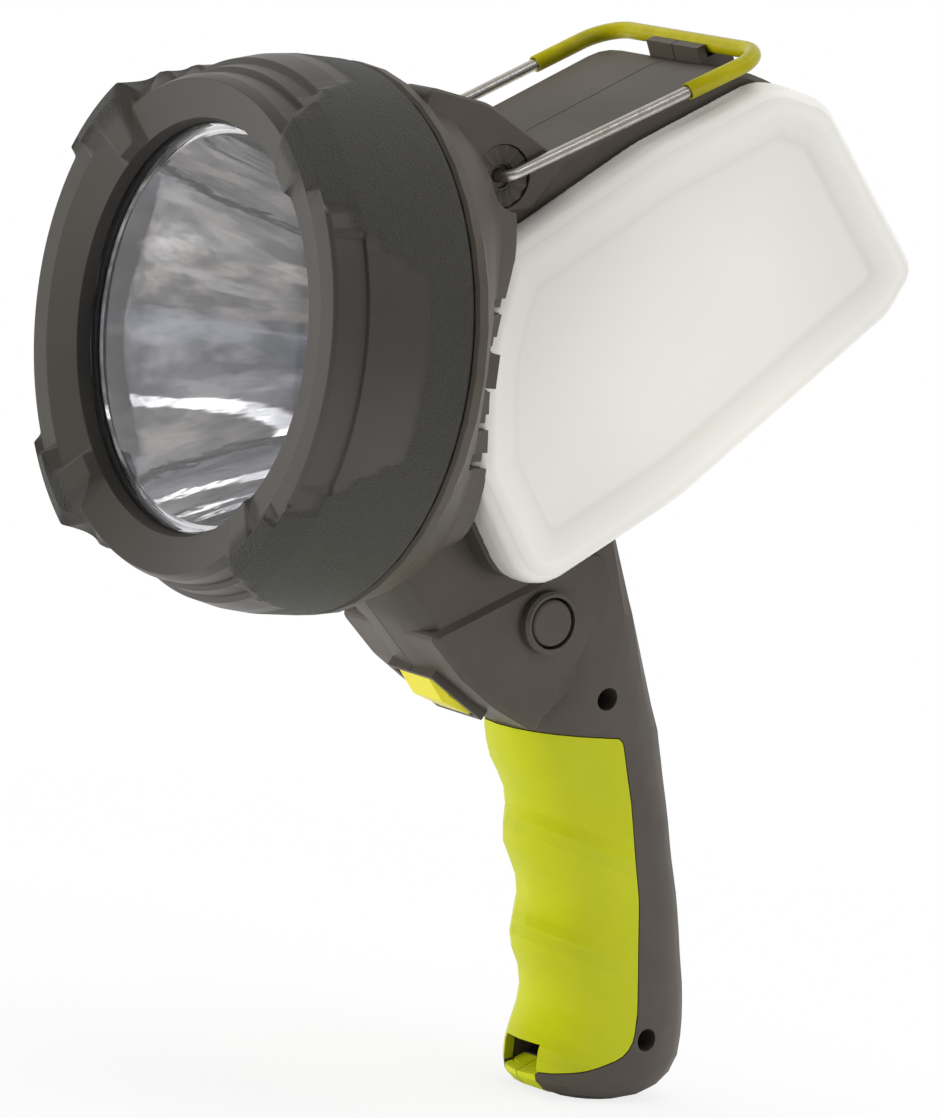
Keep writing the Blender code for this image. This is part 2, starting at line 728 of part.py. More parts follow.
def section(y, half_width, half_height, power, steps=40):
    """A ring in the plane Y = y: a circle at power 2, a rounded square at a higher power."""
    ring = []
    for i in range(steps):
        turn = math.tau * i / steps
        c, s = math.cos(turn), math.sin(turn)
        ring.append((
            half_width * math.copysign(abs(c) ** (2 / power), c), y,
            half_height * math.copysign(abs(s) ** (2 / power), s),
        ))
    return ring


def neck_front_y():
    return BEZEL_FRONT_Y + BEZEL_LENGTH + CLEARANCE


def neck_rings(wall, start=0):
    rings = []
    for along, wide, high, power, scale in NECK_SHARES[start:]:
        half_width = RING_RADIUS + (NECK_END_HALF_WIDTH - RING_RADIUS) * wide
        half_height = RING_RADIUS + (NECK_END_HALF_HEIGHT - RING_RADIUS) * high
        y = neck_front_y() + along * NECK_LENGTH
        rings.append(section(y, half_width * scale - wall, half_height * scale - wall, power))
    return rings


def handle_point(z, share):
    """The Y at a height of the handle, at a share of the way from its front to its rear edge."""
    along = (HANDLE_TOP_Z - z) / HANDLE_HEIGHT
    i = max(k for k in range(len(HANDLE_SHARES) - 1) if HANDLE_SHARES[k][0] <= along)
    (start, *low), (end, *high) = HANDLE_SHARES[i], HANDLE_SHARES[i + 1]
    part = (along - start) / (end - start)
    front, rear = (low[k] + (high[k] - low[k]) * part for k in (0, 1))
    return HANDLE_FRONT_Y + HANDLE_REACH * (front + (rear - front) * share)


def slot_front_y():
    return handle_point(SLOT_TOP_Z - SLOT_HEIGHT / 2, 0.0) - SLOT_SETBACK


def handle_ring(row, inset, steps=20):
    """One level section of the handle, its outline drawn in by inset."""
    along, front, rear, wide = row
    z = HANDLE_TOP_Z - along * HANDLE_HEIGHT
    low, high = HANDLE_FRONT_Y + front * HANDLE_REACH, HANDLE_FRONT_Y + rear * HANDLE_REACH
    middle, half_length = (low + high) / 2, (high - low) / 2 - inset
    half_width = HANDLE_HALF_WIDTH * wide - inset
    ring = []
    for i in range(steps):
        turn = math.tau * i / steps
        c, s = math.cos(turn), math.sin(turn)
        ring.append((
            half_width * math.copysign(abs(s) ** (2 / HANDLE_SECTION_POWER), s),
            middle + half_length * math.copysign(abs(c) ** (2 / HANDLE_SECTION_POWER), c), z,
        ))
    return ring


def handle_solid(name, inset, rows=HANDLE_SHARES):
    return loft(name, [handle_ring(row, inset) for row in rows])


def calm_rows():
    """Handle rows for its hollow: every third row, clear of the finger waves beside it."""
    rows = []
    for i in range(1, len(HANDLE_SHARES) - 4, 3):
        near = HANDLE_SHARES[i - 1:i + 3]
        front, rear, wide = max(r[1] for r in near), min(r[2] for r in near), min(r[3] for r in near)
        rows.append((near[1][0], front, rear, wide))
    return rows


def grip_corners():
    return [
        (HANDLE_FRONT_Y + y * GRIP_LENGTH, GRIP_TOP_Z - z * GRIP_HEIGHT, r * GRIP_HEIGHT)
        for y, z, r in GRIP_CORNER_SHARES
    ]


def strap_slot(name, grow=0.0):
    """The strap slot: a mouth in the handle's front, a ramp and a hole down, so a bar is left."""
    low = SLOT_TOP_Z - SLOT_HEIGHT
    start, end, rise = STRAP_BAR_SHARES
    front = slot_front_y()
    mouth = front - OVERRUN
    bar = front + SLOT_DEPTH * end
    back = front + SLOT_DEPTH
    corners = [
        (mouth, SLOT_TOP_Z, 0.0), (mouth, low, 0.0), (front + SLOT_DEPTH * start, low, 0.0),
        (bar, low + SLOT_HEIGHT * rise, 0.0), (bar, low - OVERRUN, 0.0),
        (back, low - OVERRUN, 0.0), (back, SLOT_TOP_Z, 0.0),
    ]
    half = SLOT_HALF_WIDTH + grow
    return slab(name, corners, -half, half, None, -grow)


def grip_sleeve():
    """The lime overmould: the handle's own skin inside the grip outline, with its finger waves."""
    reach = HANDLE_HALF_WIDTH + OVERRUN
    made = slab("grip_sleeve", grip_corners(), -reach, reach, None, CLEARANCE)
    keep(made, handle_solid("skin", 0.0))
    cut(made, handle_solid("core", GRIP_THICKNESS - CLEARANCE))
    cut(made, strap_slot("mouth"))
    return finish(made, lime())


def bail_direction():
    turn = math.radians(BAIL_ANGLE_DEGREES)
    return Vector((0.0, math.cos(turn), math.sin(turn)))


def crossbar_centre():
    return Vector((0.0, PIVOT_Y, PIVOT_Z)) + bail_direction() * BAIL_LEG_LENGTH


def clip():
    """The open saddle that the folded bail's crossbar rests in, with its higher wall in front."""
    along = bail_direction()
    up = Vector((0.0, -along.z, along.y))
    centre = crossbar_centre()
    half_gap = SLEEVE_RADIUS + CLEARANCE
    outer = half_gap + CLIP_WALL
    floor = -(SLEEVE_RADIUS + CLEARANCE)
    base = floor - CLIP_FLOOR - SLEEVE_RADIUS
    top = CLIP_LIP
    outline = [(-outer, base), (outer, base), (outer, -top), (half_gap, -top), (half_gap, floor),
               (-half_gap, floor), (-half_gap, top), (-outer, top)]
    rings = []
    for x in (-CLIP_HALF_WIDTH, CLIP_HALF_WIDTH):
        rings.append([Vector((x, 0.0, 0.0)) + centre + along * a + up * b for a, b in outline])
    return loft("clip", rings)


def ear(side):
    """The upright that holds one end of the bail, rising from the neck beside the lantern."""
    edge = PANEL_EDGE_ROUND / 2
    stations = ((EAR_INNER_X, 0.0), (EAR_OUTER_X - edge, 0.0), (EAR_OUTER_X, edge))
    corners = lantern_corners(EAR_CORNER_SHARES)
    return pillow("ear", corners, [(side * x, inset) for x, inset in stations])


def bowed(half_width, wall):
    """Stations across the lower body, whose edges curve back towards both sides."""
    steps = [i / BODY_FACE_STEPS for i in range(-BODY_FACE_STEPS, BODY_FACE_STEPS + 1)]
    return [(half_width * t, wall + BODY_EDGE_ROUND * t * t) for t in steps]


def housing_outside():
    """The outer form of both shells, as one solid."""
    made = loft("outside", neck_rings(0.0))
    front = neck_front_y()
    spigot_radius = BEZEL_THREAD_RADIUS - CLEARANCE
    add(made, disc("spigot", [(front - SPIGOT_LENGTH, spigot_radius), (front + SHELL_WALL, spigot_radius)]))
    edge = PANEL_EDGE_ROUND
    add(made, pillow("core", core_corners(), [
        (-CORE_HALF_WIDTH, edge), (edge - CORE_HALF_WIDTH, 0.0), (CORE_HALF_WIDTH - edge, 0.0),
        (CORE_HALF_WIDTH, edge),
    ]))
    cover = lantern_corners(LANTERN_CORNER_SHARES)
    bridge_low = cover[8][1] + TRAY_RIM
    bridge_high = cover[0][1] - TRAY_RIM
    half = CORE_HALF_WIDTH - edge
    add(made, box("bridge", (-half, LANTERN_FRONT_Y - TRAY_DEPTH, bridge_low),
                  (half, LANTERN_FRONT_Y + TRAY_RIM, bridge_high)))
    body = lantern_corners(BODY_CORNER_SHARES)
    add(made, pillow("body", body, bowed(BODY_HALF_WIDTH, 0.0)))
    panel = lantern_corners(PANEL_CORNER_SHARES)
    add(made, pillow("panel", panel, [
        (-PANEL_HALF_WIDTH, edge), (edge - PANEL_HALF_WIDTH, 0.0), (PANEL_HALF_WIDTH - edge, 0.0),
        (PANEL_HALF_WIDTH, edge),
    ]))
    add(made, trigger_guard())
    add(made, handle_solid("handle", 0.0))
    add(made, ear(1.0))
    add(made, ear(-1.0))
    add(made, clip())
    rim = COLLAR_HEIGHT + PANEL_HALF_WIDTH
    add(made, rod_x("collar", (BUTTON_Y, BUTTON_Z), [
        (PANEL_HALF_WIDTH - SHELL_WALL, COLLAR_RADIUS), (rim - edge / 2, COLLAR_RADIUS),
        (rim, COLLAR_RADIUS - edge / 2),
    ]))
    return made


def housing_hollow():
    """The space inside both shells, as one solid."""
    front = neck_front_y()
    rings = neck_rings(SHELL_WALL, 4)[:-1]
    rings[-1] = [(x, y - NECK_HOLLOW_SETBACK, z) for x, y, z in rings[-1]]
    made = loft("hollow", rings)
    bore = BEZEL_THREAD_RADIUS - CLEARANCE - SPIGOT_WALL
    depth, taper = MOUTH_SHARES
    add(made, disc("mouth", [
        (front - SPIGOT_LENGTH - OVERRUN, bore), (front + NECK_LENGTH * depth, bore * taper)]))
    cover = lantern_corners(LANTERN_CORNER_SHARES)
    inner = CORE_HALF_WIDTH - TRAY_DEPTH - SHELL_WALL
    add(made, slab("lantern_space", core_corners(), -inner, inner, None, SHELL_WALL))
    passage_low = cover[8][1] + TRAY_RIM + SHELL_WALL
    passage_high = cover[0][1] - TRAY_RIM - SHELL_WALL
    add(made, box("passage", (-inner, LANTERN_FRONT_Y - 2 * TRAY_DEPTH, passage_low),
                  (inner, LANTERN_FRONT_Y + TRAY_RIM + SHELL_WALL, passage_high)))
    body = lantern_corners(BODY_CORNER_SHARES)
    add(made, pillow("body_space", body, bowed(BODY_HALF_WIDTH - SHELL_WALL, SHELL_WALL)))
    add(made, handle_solid("handle_space", GRIP_THICKNESS + HANDLE_WALL, calm_rows()))
    return cut(made, strap_slot("slot_walls", SHELL_WALL / 2))


def handle_screws():
    """Places (y, z) of the handle's two screws, the upper one first."""
    heights = (UPPER_SCREW_Z, LOWER_SCREW_Z)
    return [(handle_point(z, share), z) for z, share in zip(heights, HANDLE_SCREW_SHARES)]


def lantern_screws():
    """Places (y, z) of the lantern core's two screws, the front one first."""
    return [
        (LANTERN_FRONT_Y + LANTERN_LENGTH * y, LANTERN_BOTTOM_Z + LANTERN_HEIGHT * z)
        for y, z in LANTERN_SCREW_SHARES
    ]


def screw_seat_list():
    """Each screw's place, its pocket's floor and how far out its boss may reach."""
    core = CORE_HALF_WIDTH - TRAY_DEPTH - SHELL_WALL / 2
    grip = HANDLE_HALF_WIDTH - GRIP_THICKNESS
    seats = [(place, SCREW_POCKET_FLOOR_X, grip) for place in handle_screws()]
    return seats + [(place, LANTERN_SCREW_FLOOR_X, core) for place in lantern_screws()]


def screw_seats(half, side):
    """Bosses through the hollow, then the pocket and hole on +X or the pilot hole on -X."""
    radius = SCREW_POCKET_RADIUS + SCREW_BOSS_WALL
    for place, _, outer in screw_seat_list():
        add(half, rod_x("boss", place, [(side * CLEARANCE / 2, radius), (side * outer, radius)], None, 16))
    for place, floor, _ in screw_seat_list():
        if side > 0:
            pocket = SCREW_POCKET_RADIUS
            cut(half, rod_x("pocket", place, [(floor, pocket), (floor + OVERRUN, pocket)]))
            hole = SCREW_SHANK_RADIUS + BORE_CLEARANCE
            cut(half, rod_x("hole", place, [(-CLEARANCE, hole), (floor + CLEARANCE, hole)], None, 16))
        else:
            pilot = SCREW_SHANK_RADIUS + CLEARANCE
            depth = SCREW_LENGTH - floor + SHELL_WALL / 2
            cut(half, rod_x("pilot", place, [(-depth, pilot), (CLEARANCE, pilot)], None, 16))
    return half


def board_posts(side):
    """Posts from a shell's wall to the boards and the switch, each as (y, z, inner X, outer X)."""
    corner, along, inward = trigger_frame()
    middle = TRIGGER_DEPTH + TRIGGER_TRAVEL + CLEARANCE + TRIGGER_SWITCH_HEIGHT / 2
    place = corner + inward * middle
    place += along * (TRIGGER_LENGTH / 2 - TRIGGER_SWITCH_LENGTH * SWITCH_POST_SHARE)
    wall = BODY_HALF_WIDTH - SHELL_WALL / 2
    posts = [(place.y, place.z, TRIGGER_SWITCH_WIDTH / 2 + CLEARANCE, wall)]
    if side > 0:
        reach = BUTTON_BOARD_SIDE / 2 - POST_RADIUS
        floor = button_switch_top() - BUTTON_SWITCH_DEPTH + CLEARANCE
        for y in (BUTTON_Y - reach, BUTTON_Y + reach):
            for z in (BUTTON_Z - reach, BUTTON_Z + reach):
                posts.append((y, z, floor, wall))
        return posts
    reach = MAIN_BOARD_LENGTH / 2 - MAIN_BOARD_POST_INSET
    wall = CORE_HALF_WIDTH - TRAY_DEPTH - SHELL_WALL / 2
    for y in (MAIN_BOARD_Y - reach, MAIN_BOARD_Y + reach):
        posts.append((y, MAIN_BOARD_Z, MAIN_BOARD_THICKNESS / 2 + CLEARANCE, wall))
    return posts


def vent_row(side, rise, height):
    """One block per slot of the neck's rear rim, starting at rise over the slots' lower edges."""
    low_x, high_x = sorted((side * VENT_INNER_X, side * (RING_RADIUS + OVERRUN)))
    points, faces = [], []
    for i in range(VENT_SLOTS):
        low = VENT_CENTRE_Z + (i - (VENT_SLOTS - 1) / 2) * VENT_PITCH - VENT_HEIGHT / 2 + rise
        start = len(points)
        for z in (low, low + height):
            points += [(low_x, VENT_FRONT_Y, z), (high_x, VENT_FRONT_Y, z)]
            points += [(high_x, LANTERN_FRONT_Y + OVERRUN, z), (low_x, LANTERN_FRONT_Y + OVERRUN, z)]
        for face in ((0, 1, 2, 3), (4, 5, 6, 7), (0, 1, 5, 4), (1, 2, 6, 5), (2, 3, 7, 6), (3, 0, 4, 7)):
            faces.append(tuple(start + corner for corner in face))
    return build("vents", points, faces)


def vents(side):
    """Louvres: shallow grooves in the neck's skin, each with a slit through its lower edge."""
    grooves = vent_row(side, 0.0, VENT_HEIGHT)
    cut(grooves, loft("floor", neck_rings(VENT_GROOVE_DEPTH, 4)))
    return [grooves, vent_row(side, CLEARANCE, VENT_SLIT_HEIGHT)]


def diffuser_space(side):
    """The room that a diffuser takes, and the neck's rim cut back over the diffuser's front edge."""
    core = lantern_corners(LANTERN_CORNER_SHARES)
    rings = []
    for x, inset in [(CORE_HALF_WIDTH, 0.0), *diffuser_stations()]:
        rings.append([(side * (x + CLEARANCE), y, z) for y, z in rounded(core, inset - CLEARANCE)])
    made = loft("space", rings)
    rim = slab("rim", core, side * (CORE_HALF_WIDTH + CLEARANCE), side * (CORE_HALF_WIDTH + OVERRUN), None,
               NECK_RIM_OVERLAP)
    return add(made, rim)


def sink_rib(side):
    """A rib from the neck's wall to the rim of the heat sink's plate."""
    front = beam_board_y() + BEAM_BOARD_THICKNESS + CLEARANCE
    inner = HEAT_SINK_RADIUS + CLEARANCE
    low_x, high_x = sorted((side * inner, side * (RING_RADIUS + NECK_END_HALF_WIDTH) / 2))
    half = SINK_RIB_HALF_WIDTH
    return box("rib", (low_x, front, -half), (high_x, front + HEAT_SINK_PLATE, half))


def tray(side):
    core = lantern_corners(LANTERN_CORNER_SHARES)
    floor = CORE_HALF_WIDTH - TRAY_DEPTH
    return slab("tray", core, side * floor, side * (CORE_HALF_WIDTH + OVERRUN), None, TRAY_RIM)


def trigger_frame():
    """Unit vectors along the trigger's opening and into the body, and its front corner."""
    turn = math.radians(TRIGGER_SLOPE_DEGREES)
    along = Vector((0.0, math.cos(turn), -math.sin(turn)))
    inward = Vector((0.0, math.sin(turn), math.cos(turn)))
    return Vector((0.0, TRIGGER_FRONT_Y, TRIGGER_FRONT_Z)), along, inward


def trigger_block(name, outline, half_width, edge=0.0):
    """A block across X from (along, inward) points in the trigger's own frame."""
    corner, along, inward = trigger_frame()
    rings = []
    stations = [(-half_width, edge), (edge - half_width, 0.0), (half_width - edge, 0.0), (half_width, edge)]
    if not edge:
        stations = [(-half_width, 0.0), (half_width, 0.0)]
    for x, inset in stations:
        flat = inset_corners([(a, b, 0.0) for a, b in outline], inset)
        rings.append([corner + Vector((x, 0.0, 0.0)) + along * a + inward * b for a, b, _ in flat])
    return loft(name, rings)


def trigger_opening():
    grow = CLEARANCE
    return trigger_block("opening", [
        (-grow, -OVERRUN), (TRIGGER_LENGTH + grow, -OVERRUN), (TRIGGER_LENGTH + grow, OVERRUN),
        (-grow, OVERRUN),
    ], TRIGGER_HALF_WIDTH + grow)


def trigger_guard():
    """The low collar on the belly that stands round the trigger."""
    margin = CLEARANCE + TRIGGER_FRAME_WALL
    low, high = -TRIGGER_FRAME_HEIGHT, SHELL_WALL
    return trigger_block("guard", [
        (-margin, low), (TRIGGER_LENGTH + margin, low), (TRIGGER_LENGTH + margin, high), (-margin, high),
    ], TRIGGER_HALF_WIDTH + margin)


def trigger():
    """The lime finger piece: a faceted nose over the collar, a body and a retaining flange."""
    nose = -TRIGGER_BULGE
    first, crest, last = TRIGGER_NOSE_SHARES
    made = trigger_block("trigger", [
        (0.0, TRIGGER_DEPTH), (0.0, nose * first), (TRIGGER_LENGTH * crest, nose),
        (TRIGGER_LENGTH, nose * last), (TRIGGER_LENGTH, TRIGGER_DEPTH)], TRIGGER_HALF_WIDTH, TRIGGER_CHAMFER)
    top = TRIGGER_DEPTH
    rim = TRIGGER_FLANGE
    add(made, trigger_block("flange", [
        (-rim, top - TRIGGER_FLANGE_THICKNESS), (-rim, top), (TRIGGER_LENGTH + rim, top),
        (TRIGGER_LENGTH + rim, top - TRIGGER_FLANGE_THICKNESS)], TRIGGER_HALF_WIDTH + rim))
    return finish(made, lime())


def trigger_switch():
    """The snap switch over the trigger, with its button facing the trigger's flange."""
    gap = TRIGGER_TRAVEL + CLEARANCE
    low = TRIGGER_DEPTH + gap
    middle = TRIGGER_LENGTH / 2
    half = TRIGGER_SWITCH_LENGTH / 2
    made = trigger_block("trigger_switch", [
        (middle - half, low), (middle + half, low), (middle + half, low + TRIGGER_SWITCH_HEIGHT),
        (middle - half, low + TRIGGER_SWITCH_HEIGHT)], TRIGGER_SWITCH_WIDTH / 2)
    return finish(made, switch_black())


def button_hole():
    radius = BUTTON_RADIUS + BUTTON_GAP
    wide = BUTTON_FLANGE_RADIUS + CLEARANCE
    rim = PANEL_HALF_WIDTH + COLLAR_HEIGHT
    ledge = PANEL_HALF_WIDTH - SHELL_WALL / 2
    made = rod_x("hole", (BUTTON_Y, BUTTON_Z), [(ledge - CLEARANCE, radius), (rim + OVERRUN, radius)])
    add(made, rod_x("seat", (BUTTON_Y, BUTTON_Z), [
        (BODY_HALF_WIDTH - 2 * SHELL_WALL, wide), (ledge, wide)]))
    return made


def side_button():
    """The round push button: a low domed cap, a flange under the wall and a stem to the switch."""
    cap = PANEL_HALF_WIDTH + COLLAR_HEIGHT
    ledge = PANEL_HALF_WIDTH - SHELL_WALL / 2 - CLEARANCE
    low = ledge - BUTTON_FLANGE_THICKNESS
    edge = BUTTON_GAP
    return rod_x("side_button", (BUTTON_Y, BUTTON_Z), [
        (button_switch_top() + BUTTON_TRAVEL + CLEARANCE, BUTTON_STEM_RADIUS), (low, BUTTON_STEM_RADIUS),
        (low, BUTTON_FLANGE_RADIUS), (ledge, BUTTON_FLANGE_RADIUS), (ledge, BUTTON_RADIUS),
        (cap - edge, BUTTON_RADIUS), (cap, BUTTON_RADIUS - edge),
    ], material("button_grey", (0.095, 0.090, 0.082), 0.50), 32)


def button_switch_top():
    return BODY_HALF_WIDTH - SHELL_WALL - 2 * BUTTON_TRAVEL - BUTTON_FLANGE_THICKNESS


def button_switch():
    """The small switch and its board behind the push button."""
    top = button_switch_top()
    half = BUTTON_SWITCH_SIDE / 2
    board = BUTTON_BOARD_SIDE / 2
    floor = top - BUTTON_SWITCH_DEPTH
    made = box("button_switch", (floor - BUTTON_BOARD_THICKNESS, BUTTON_Y - board, BUTTON_Z - board),
               (floor, BUTTON_Y + board, BUTTON_Z + board))
    add(made, box("body", (floor - BUTTON_BOARD_THICKNESS / 2, BUTTON_Y - half, BUTTON_Z - half),
                  (top, BUTTON_Y + half, BUTTON_Z + half)))
    return finish(made, board_green())


def pivot_bore(side):
    """The ear's cup for the detent ring and the bore for the bail's pin."""
    floor = EAR_OUTER_X - PIVOT_CUP_DEPTH
    radius = WIRE_RADIUS + BORE_CLEARANCE
    made = rod_x("cup", (PIVOT_Y, PIVOT_Z), [
        (side * floor, PIVOT_CUP_RADIUS), (side * (EAR_OUTER_X + OVERRUN), PIVOT_CUP_RADIUS)], None, 28)
    end = BAIL_PIN_INNER_X - CLEARANCE
    add(made, rod_x("bore", (PIVOT_Y, PIVOT_Z), [
        (side * end, radius), (side * (EAR_OUTER_X + CLEARANCE), radius)], None, 20))
    return made


def detent_ring(side, name):
    """The ribbed ring in the ear's cup: the wire's bend clicks over its radial ribs."""
    floor = EAR_OUTER_X - PIVOT_CUP_DEPTH + CLEARANCE
    top = floor + DETENT_RING_DEPTH - DETENT_RIB_HEIGHT
    outer = PIVOT_CUP_RADIUS - CLEARANCE
    inner = DETENT_BORE_RADIUS
    steps = DETENT_RIBS * 2
    foot, start = (inner * share for share in DETENT_RIB_START_SHARES)
    rings = []
    for x, radius, raised in ((floor, inner, 0), (floor, outer, 0), (top, outer, 1), (top, start, 1),
                              (top, foot, 0), (top, inner, 0)):
        ring = []
        for i in range(steps):
            turn = math.tau * i / steps
            lift = DETENT_RIB_HEIGHT if raised and i % 2 else 0.0
            y, z = PIVOT_Y + radius * math.cos(turn), PIVOT_Z + radius * math.sin(turn)
            ring.append((side * (x + lift), y, z))
        rings.append(ring)
    return loft(name, rings, dark_housing(), closed=True)


def housing_shells():
    """The two shells: the outside less the hollow, split on the plane X = 0."""
    shell = housing_outside()
    cut(shell, housing_hollow())
    recess = slab("recess", grip_corners(), -HANDLE_HALF_WIDTH - OVERRUN, HANDLE_HALF_WIDTH + OVERRUN)
    cut(recess, handle_solid("core", GRIP_THICKNESS))
    cut(shell, recess)
    cut(shell, strap_slot("mouth"))
    cut(shell, trigger_opening())
    cut(shell, socket_hole())
    halves = []
    for side, name in ((1.0, "housing_right"), (-1.0, "housing_left")):
        half = copy_of(shell, name)
        near, far = side * CLEARANCE / 2, side * (HEAD_RADIUS + OVERRUN)
        low_x, high_x = sorted((near, far))
        reach = HEAD_RADIUS + LANTERN_LENGTH + HANDLE_HEIGHT
        keep(half, box("side", (low_x, -reach, -reach), (high_x, reach, reach)))
        cut(half, add(tray(side), diffuser_space(side)))
        for slot in vents(side):
            cut(half, slot)
        add(half, sink_rib(side))
        for y, z, inner, outer in board_posts(side):
            ends = [(side * inner, POST_RADIUS), (side * outer, POST_RADIUS)]
            add(half, rod_x("post", (y, z), ends, None, 12))
        cut(half, pivot_bore(side))
        screw_seats(half, side)
        halves.append(half)
    bpy.data.objects.remove(shell, do_unlink=True)
    cut(halves[0], button_hole())
    for half in halves:
        finish(half, dark_housing())
    return halves


def diffuser_stations():
    """Each X of the milky cover's skin with its outline's inset: a wall, a round edge, a dish."""
    top = DIFFUSER_HALF_SPAN
    edge = DIFFUSER_EDGE_ROUND
    stations = [(CORE_HALF_WIDTH + CLEARANCE, 0.0), (top - edge, 0.0)]
    for i in range(1, 4):
        turn = math.pi / 2 * i / 3
        stations.append((top - edge + edge * math.sin(turn), edge * (1 - math.cos(turn))))
    down, out = DIFFUSER_DISH_SHARES
    stations.append((top - DIFFUSER_DISH * down, edge + DIFFUSER_RIM_WIDTH * out))
    stations.append((top - DIFFUSER_DISH, edge + DIFFUSER_RIM_WIDTH))
    return stations


def diffuser(side, name):
    """A milky cover: its outline swept in through a soft edge to a shallow dish."""
    core = lantern_corners(LANTERN_CORNER_SHARES)
    stations = diffuser_stations()
    made = pillow(name, core, [(side * x, inset) for x, inset in stations])
    wall = DIFFUSER_WALL
    edge = DIFFUSER_EDGE_ROUND
    inside = [
        (CORE_HALF_WIDTH - OVERRUN, wall), (DIFFUSER_HALF_SPAN - edge, wall),
        (DIFFUSER_HALF_SPAN - DIFFUSER_DISH - wall, edge + wall),
    ]
    cut(made, pillow("inside", core, [(side * x, inset) for x, inset in inside]))
    return finish(made, milky())


def lantern_board(side, name):
    """The lantern's light board: a plate in the tray with rows of small emitters."""
    floor = CORE_HALF_WIDTH - TRAY_DEPTH + CLEARANCE
    top = floor + LANTERN_BOARD_THICKNESS
    core = lantern_corners(LANTERN_CORNER_SHARES)
    made = slab(name, core, side * floor, side * top, None, TRAY_RIM + CLEARANCE, 2)
    along = bail_direction()
    up = Vector((0.0, -along.z, along.y))
    far, raised = LANTERN_LED_CENTRE_SHARES
    y, z = LANTERN_FRONT_Y + LANTERN_LENGTH * far, LANTERN_BOTTOM_Z + LANTERN_HEIGHT * raised
    centre = Vector((side * top, y, z))
    length = LANTERN_LENGTH * LANTERN_LED_SPREAD_SHARES[0]
    height = LANTERN_HEIGHT * LANTERN_LED_SPREAD_SHARES[1]
    half, thick = LANTERN_LED_SIDE / 2, LANTERN_LED_THICKNESS
    for row in range(LANTERN_LED_ROWS):
        for column in range(LANTERN_LED_COLUMNS):
            a = (column / (LANTERN_LED_COLUMNS - 1) - 0.5) * length
            b = (row / (LANTERN_LED_ROWS - 1) - 0.5) * height
            middle = centre + along * a + up * b
            low = (middle.x - thick, middle.y - half, middle.z - half)
            high = (middle.x + thick, middle.y + half, middle.z + half)
            add(made, box("led", low, high))
    return finish(made, board_white())


def bail_path():
    """Corners of the wire's centre line on +X, from the pin's inner end to the middle."""
    pivot = Vector((0.0, PIVOT_Y, PIVOT_Z))
    pin = pivot + Vector((BAIL_PIN_INNER_X, 0.0, 0.0))
    bend = pivot + Vector((BAIL_PIVOT_HALF_WIDTH, 0.0, 0.0))
    corner = crossbar_centre() + Vector((BAIL_BAR_HALF_WIDTH, 0.0, 0.0))
    return [pin, bend, corner, crossbar_centre()]


def bent(points, radii, steps=5):
    """Centre line through points with an arc of each inner corner's radius."""
    path = [points[0]]
    for i in range(1, len(points) - 1):
        here = points[i]
        back, ahead = (points[i - 1] - here).normalized(), (points[i + 1] - here).normalized()
        half = back.angle(ahead) / 2
        tangent = radii[i - 1] / math.tan(half)
        middle = here + (back + ahead).normalized() * (radii[i - 1] / math.sin(half))
        first = here + back * tangent - middle
        last = here + ahead * tangent - middle
        sweep = first.angle(last)
        for step in range(steps + 1):
            share = step / steps
            mixed = first * math.sin((1 - share) * sweep) + last * math.sin(share * sweep)
            path.append(middle + mixed / math.sin(sweep))
    path.append(points[-1])
    return path


def tube_rings(path, radius, steps):
    """Round sections along a path, each square to it and turned alike."""
    rings = []
    across = None
    for i, point in enumerate(path):
        ahead = path[min(i + 1, len(path) - 1)] - path[max(i - 1, 0)]
        ahead.normalize()
        if across is None:
            across = ahead.orthogonal().normalized()
        across = (across - ahead * across.dot(ahead)).normalized()
        other = ahead.cross(across)
        turns = [math.tau * k / steps for k in range(steps)]
        rings.append([
            point + across * (radius * math.cos(t)) + other * (radius * math.sin(t)) for t in turns
        ])
    return rings


def mirrored_path(half):
    """The whole centre line from one side's half, which ends on the plane X = 0."""
    other = [Vector((-p.x, p.y, p.z)) for p in reversed(half[:-1])]
    return half[:-1] + other


def bail_wire():
    half = bent(bail_path(), (BAIL_END_RADIUS, BAIL_CORNER_RADIUS))
    return loft("bail_wire", tube_rings(mirrored_path(half), WIRE_RADIUS, 12), steel())


def bail_sleeve():
    """The lime tube over the crossbar and the ends of the legs."""
    points = bail_path()
    start = points[2] + (points[1] - points[2]).normalized() * SLEEVE_LEG_COVER
    half = bent([start, points[2], points[3]], (BAIL_CORNER_RADIUS,))
    path = mirrored_path(half)
    outer = tube_rings(path, SLEEVE_RADIUS, 12)
    inner = tube_rings(path, WIRE_RADIUS + SLEEVE_CLEARANCE, 12)
    return loft("bail_sleeve", outer + list(reversed(inner)), olive(), closed=True)


def battery_cell():
    """One round cell standing in the handle, tilted with it."""
    low, high = CELL_ACROSS_SHARES
    top_z = CELL_BOTTOM_Z + CELL_LENGTH
    base = Vector((0.0, handle_point(CELL_BOTTOM_Z, low), CELL_BOTTOM_Z))
    up = (Vector((0.0, handle_point(top_z, high), top_z)) - base).normalized()
    across = Vector((1.0, 0.0, 0.0))
    other = up.cross(across)
    rings = []
    turns = [math.tau * i / CELL_STEPS for i in range(CELL_STEPS)]
    for height, radius in ((0.0, CELL_RADIUS), (CELL_LENGTH, CELL_RADIUS), (CELL_LENGTH, CELL_CAP_RADIUS),
                           (CELL_LENGTH + CELL_CAP_HEIGHT, CELL_CAP_RADIUS)):
        level = base + up * height
        rings.append([
            level + across * (radius * math.cos(t)) + other * (radius * math.sin(t)) for t in turns
        ])
    return loft("battery_cell", rings, cell_wrap())


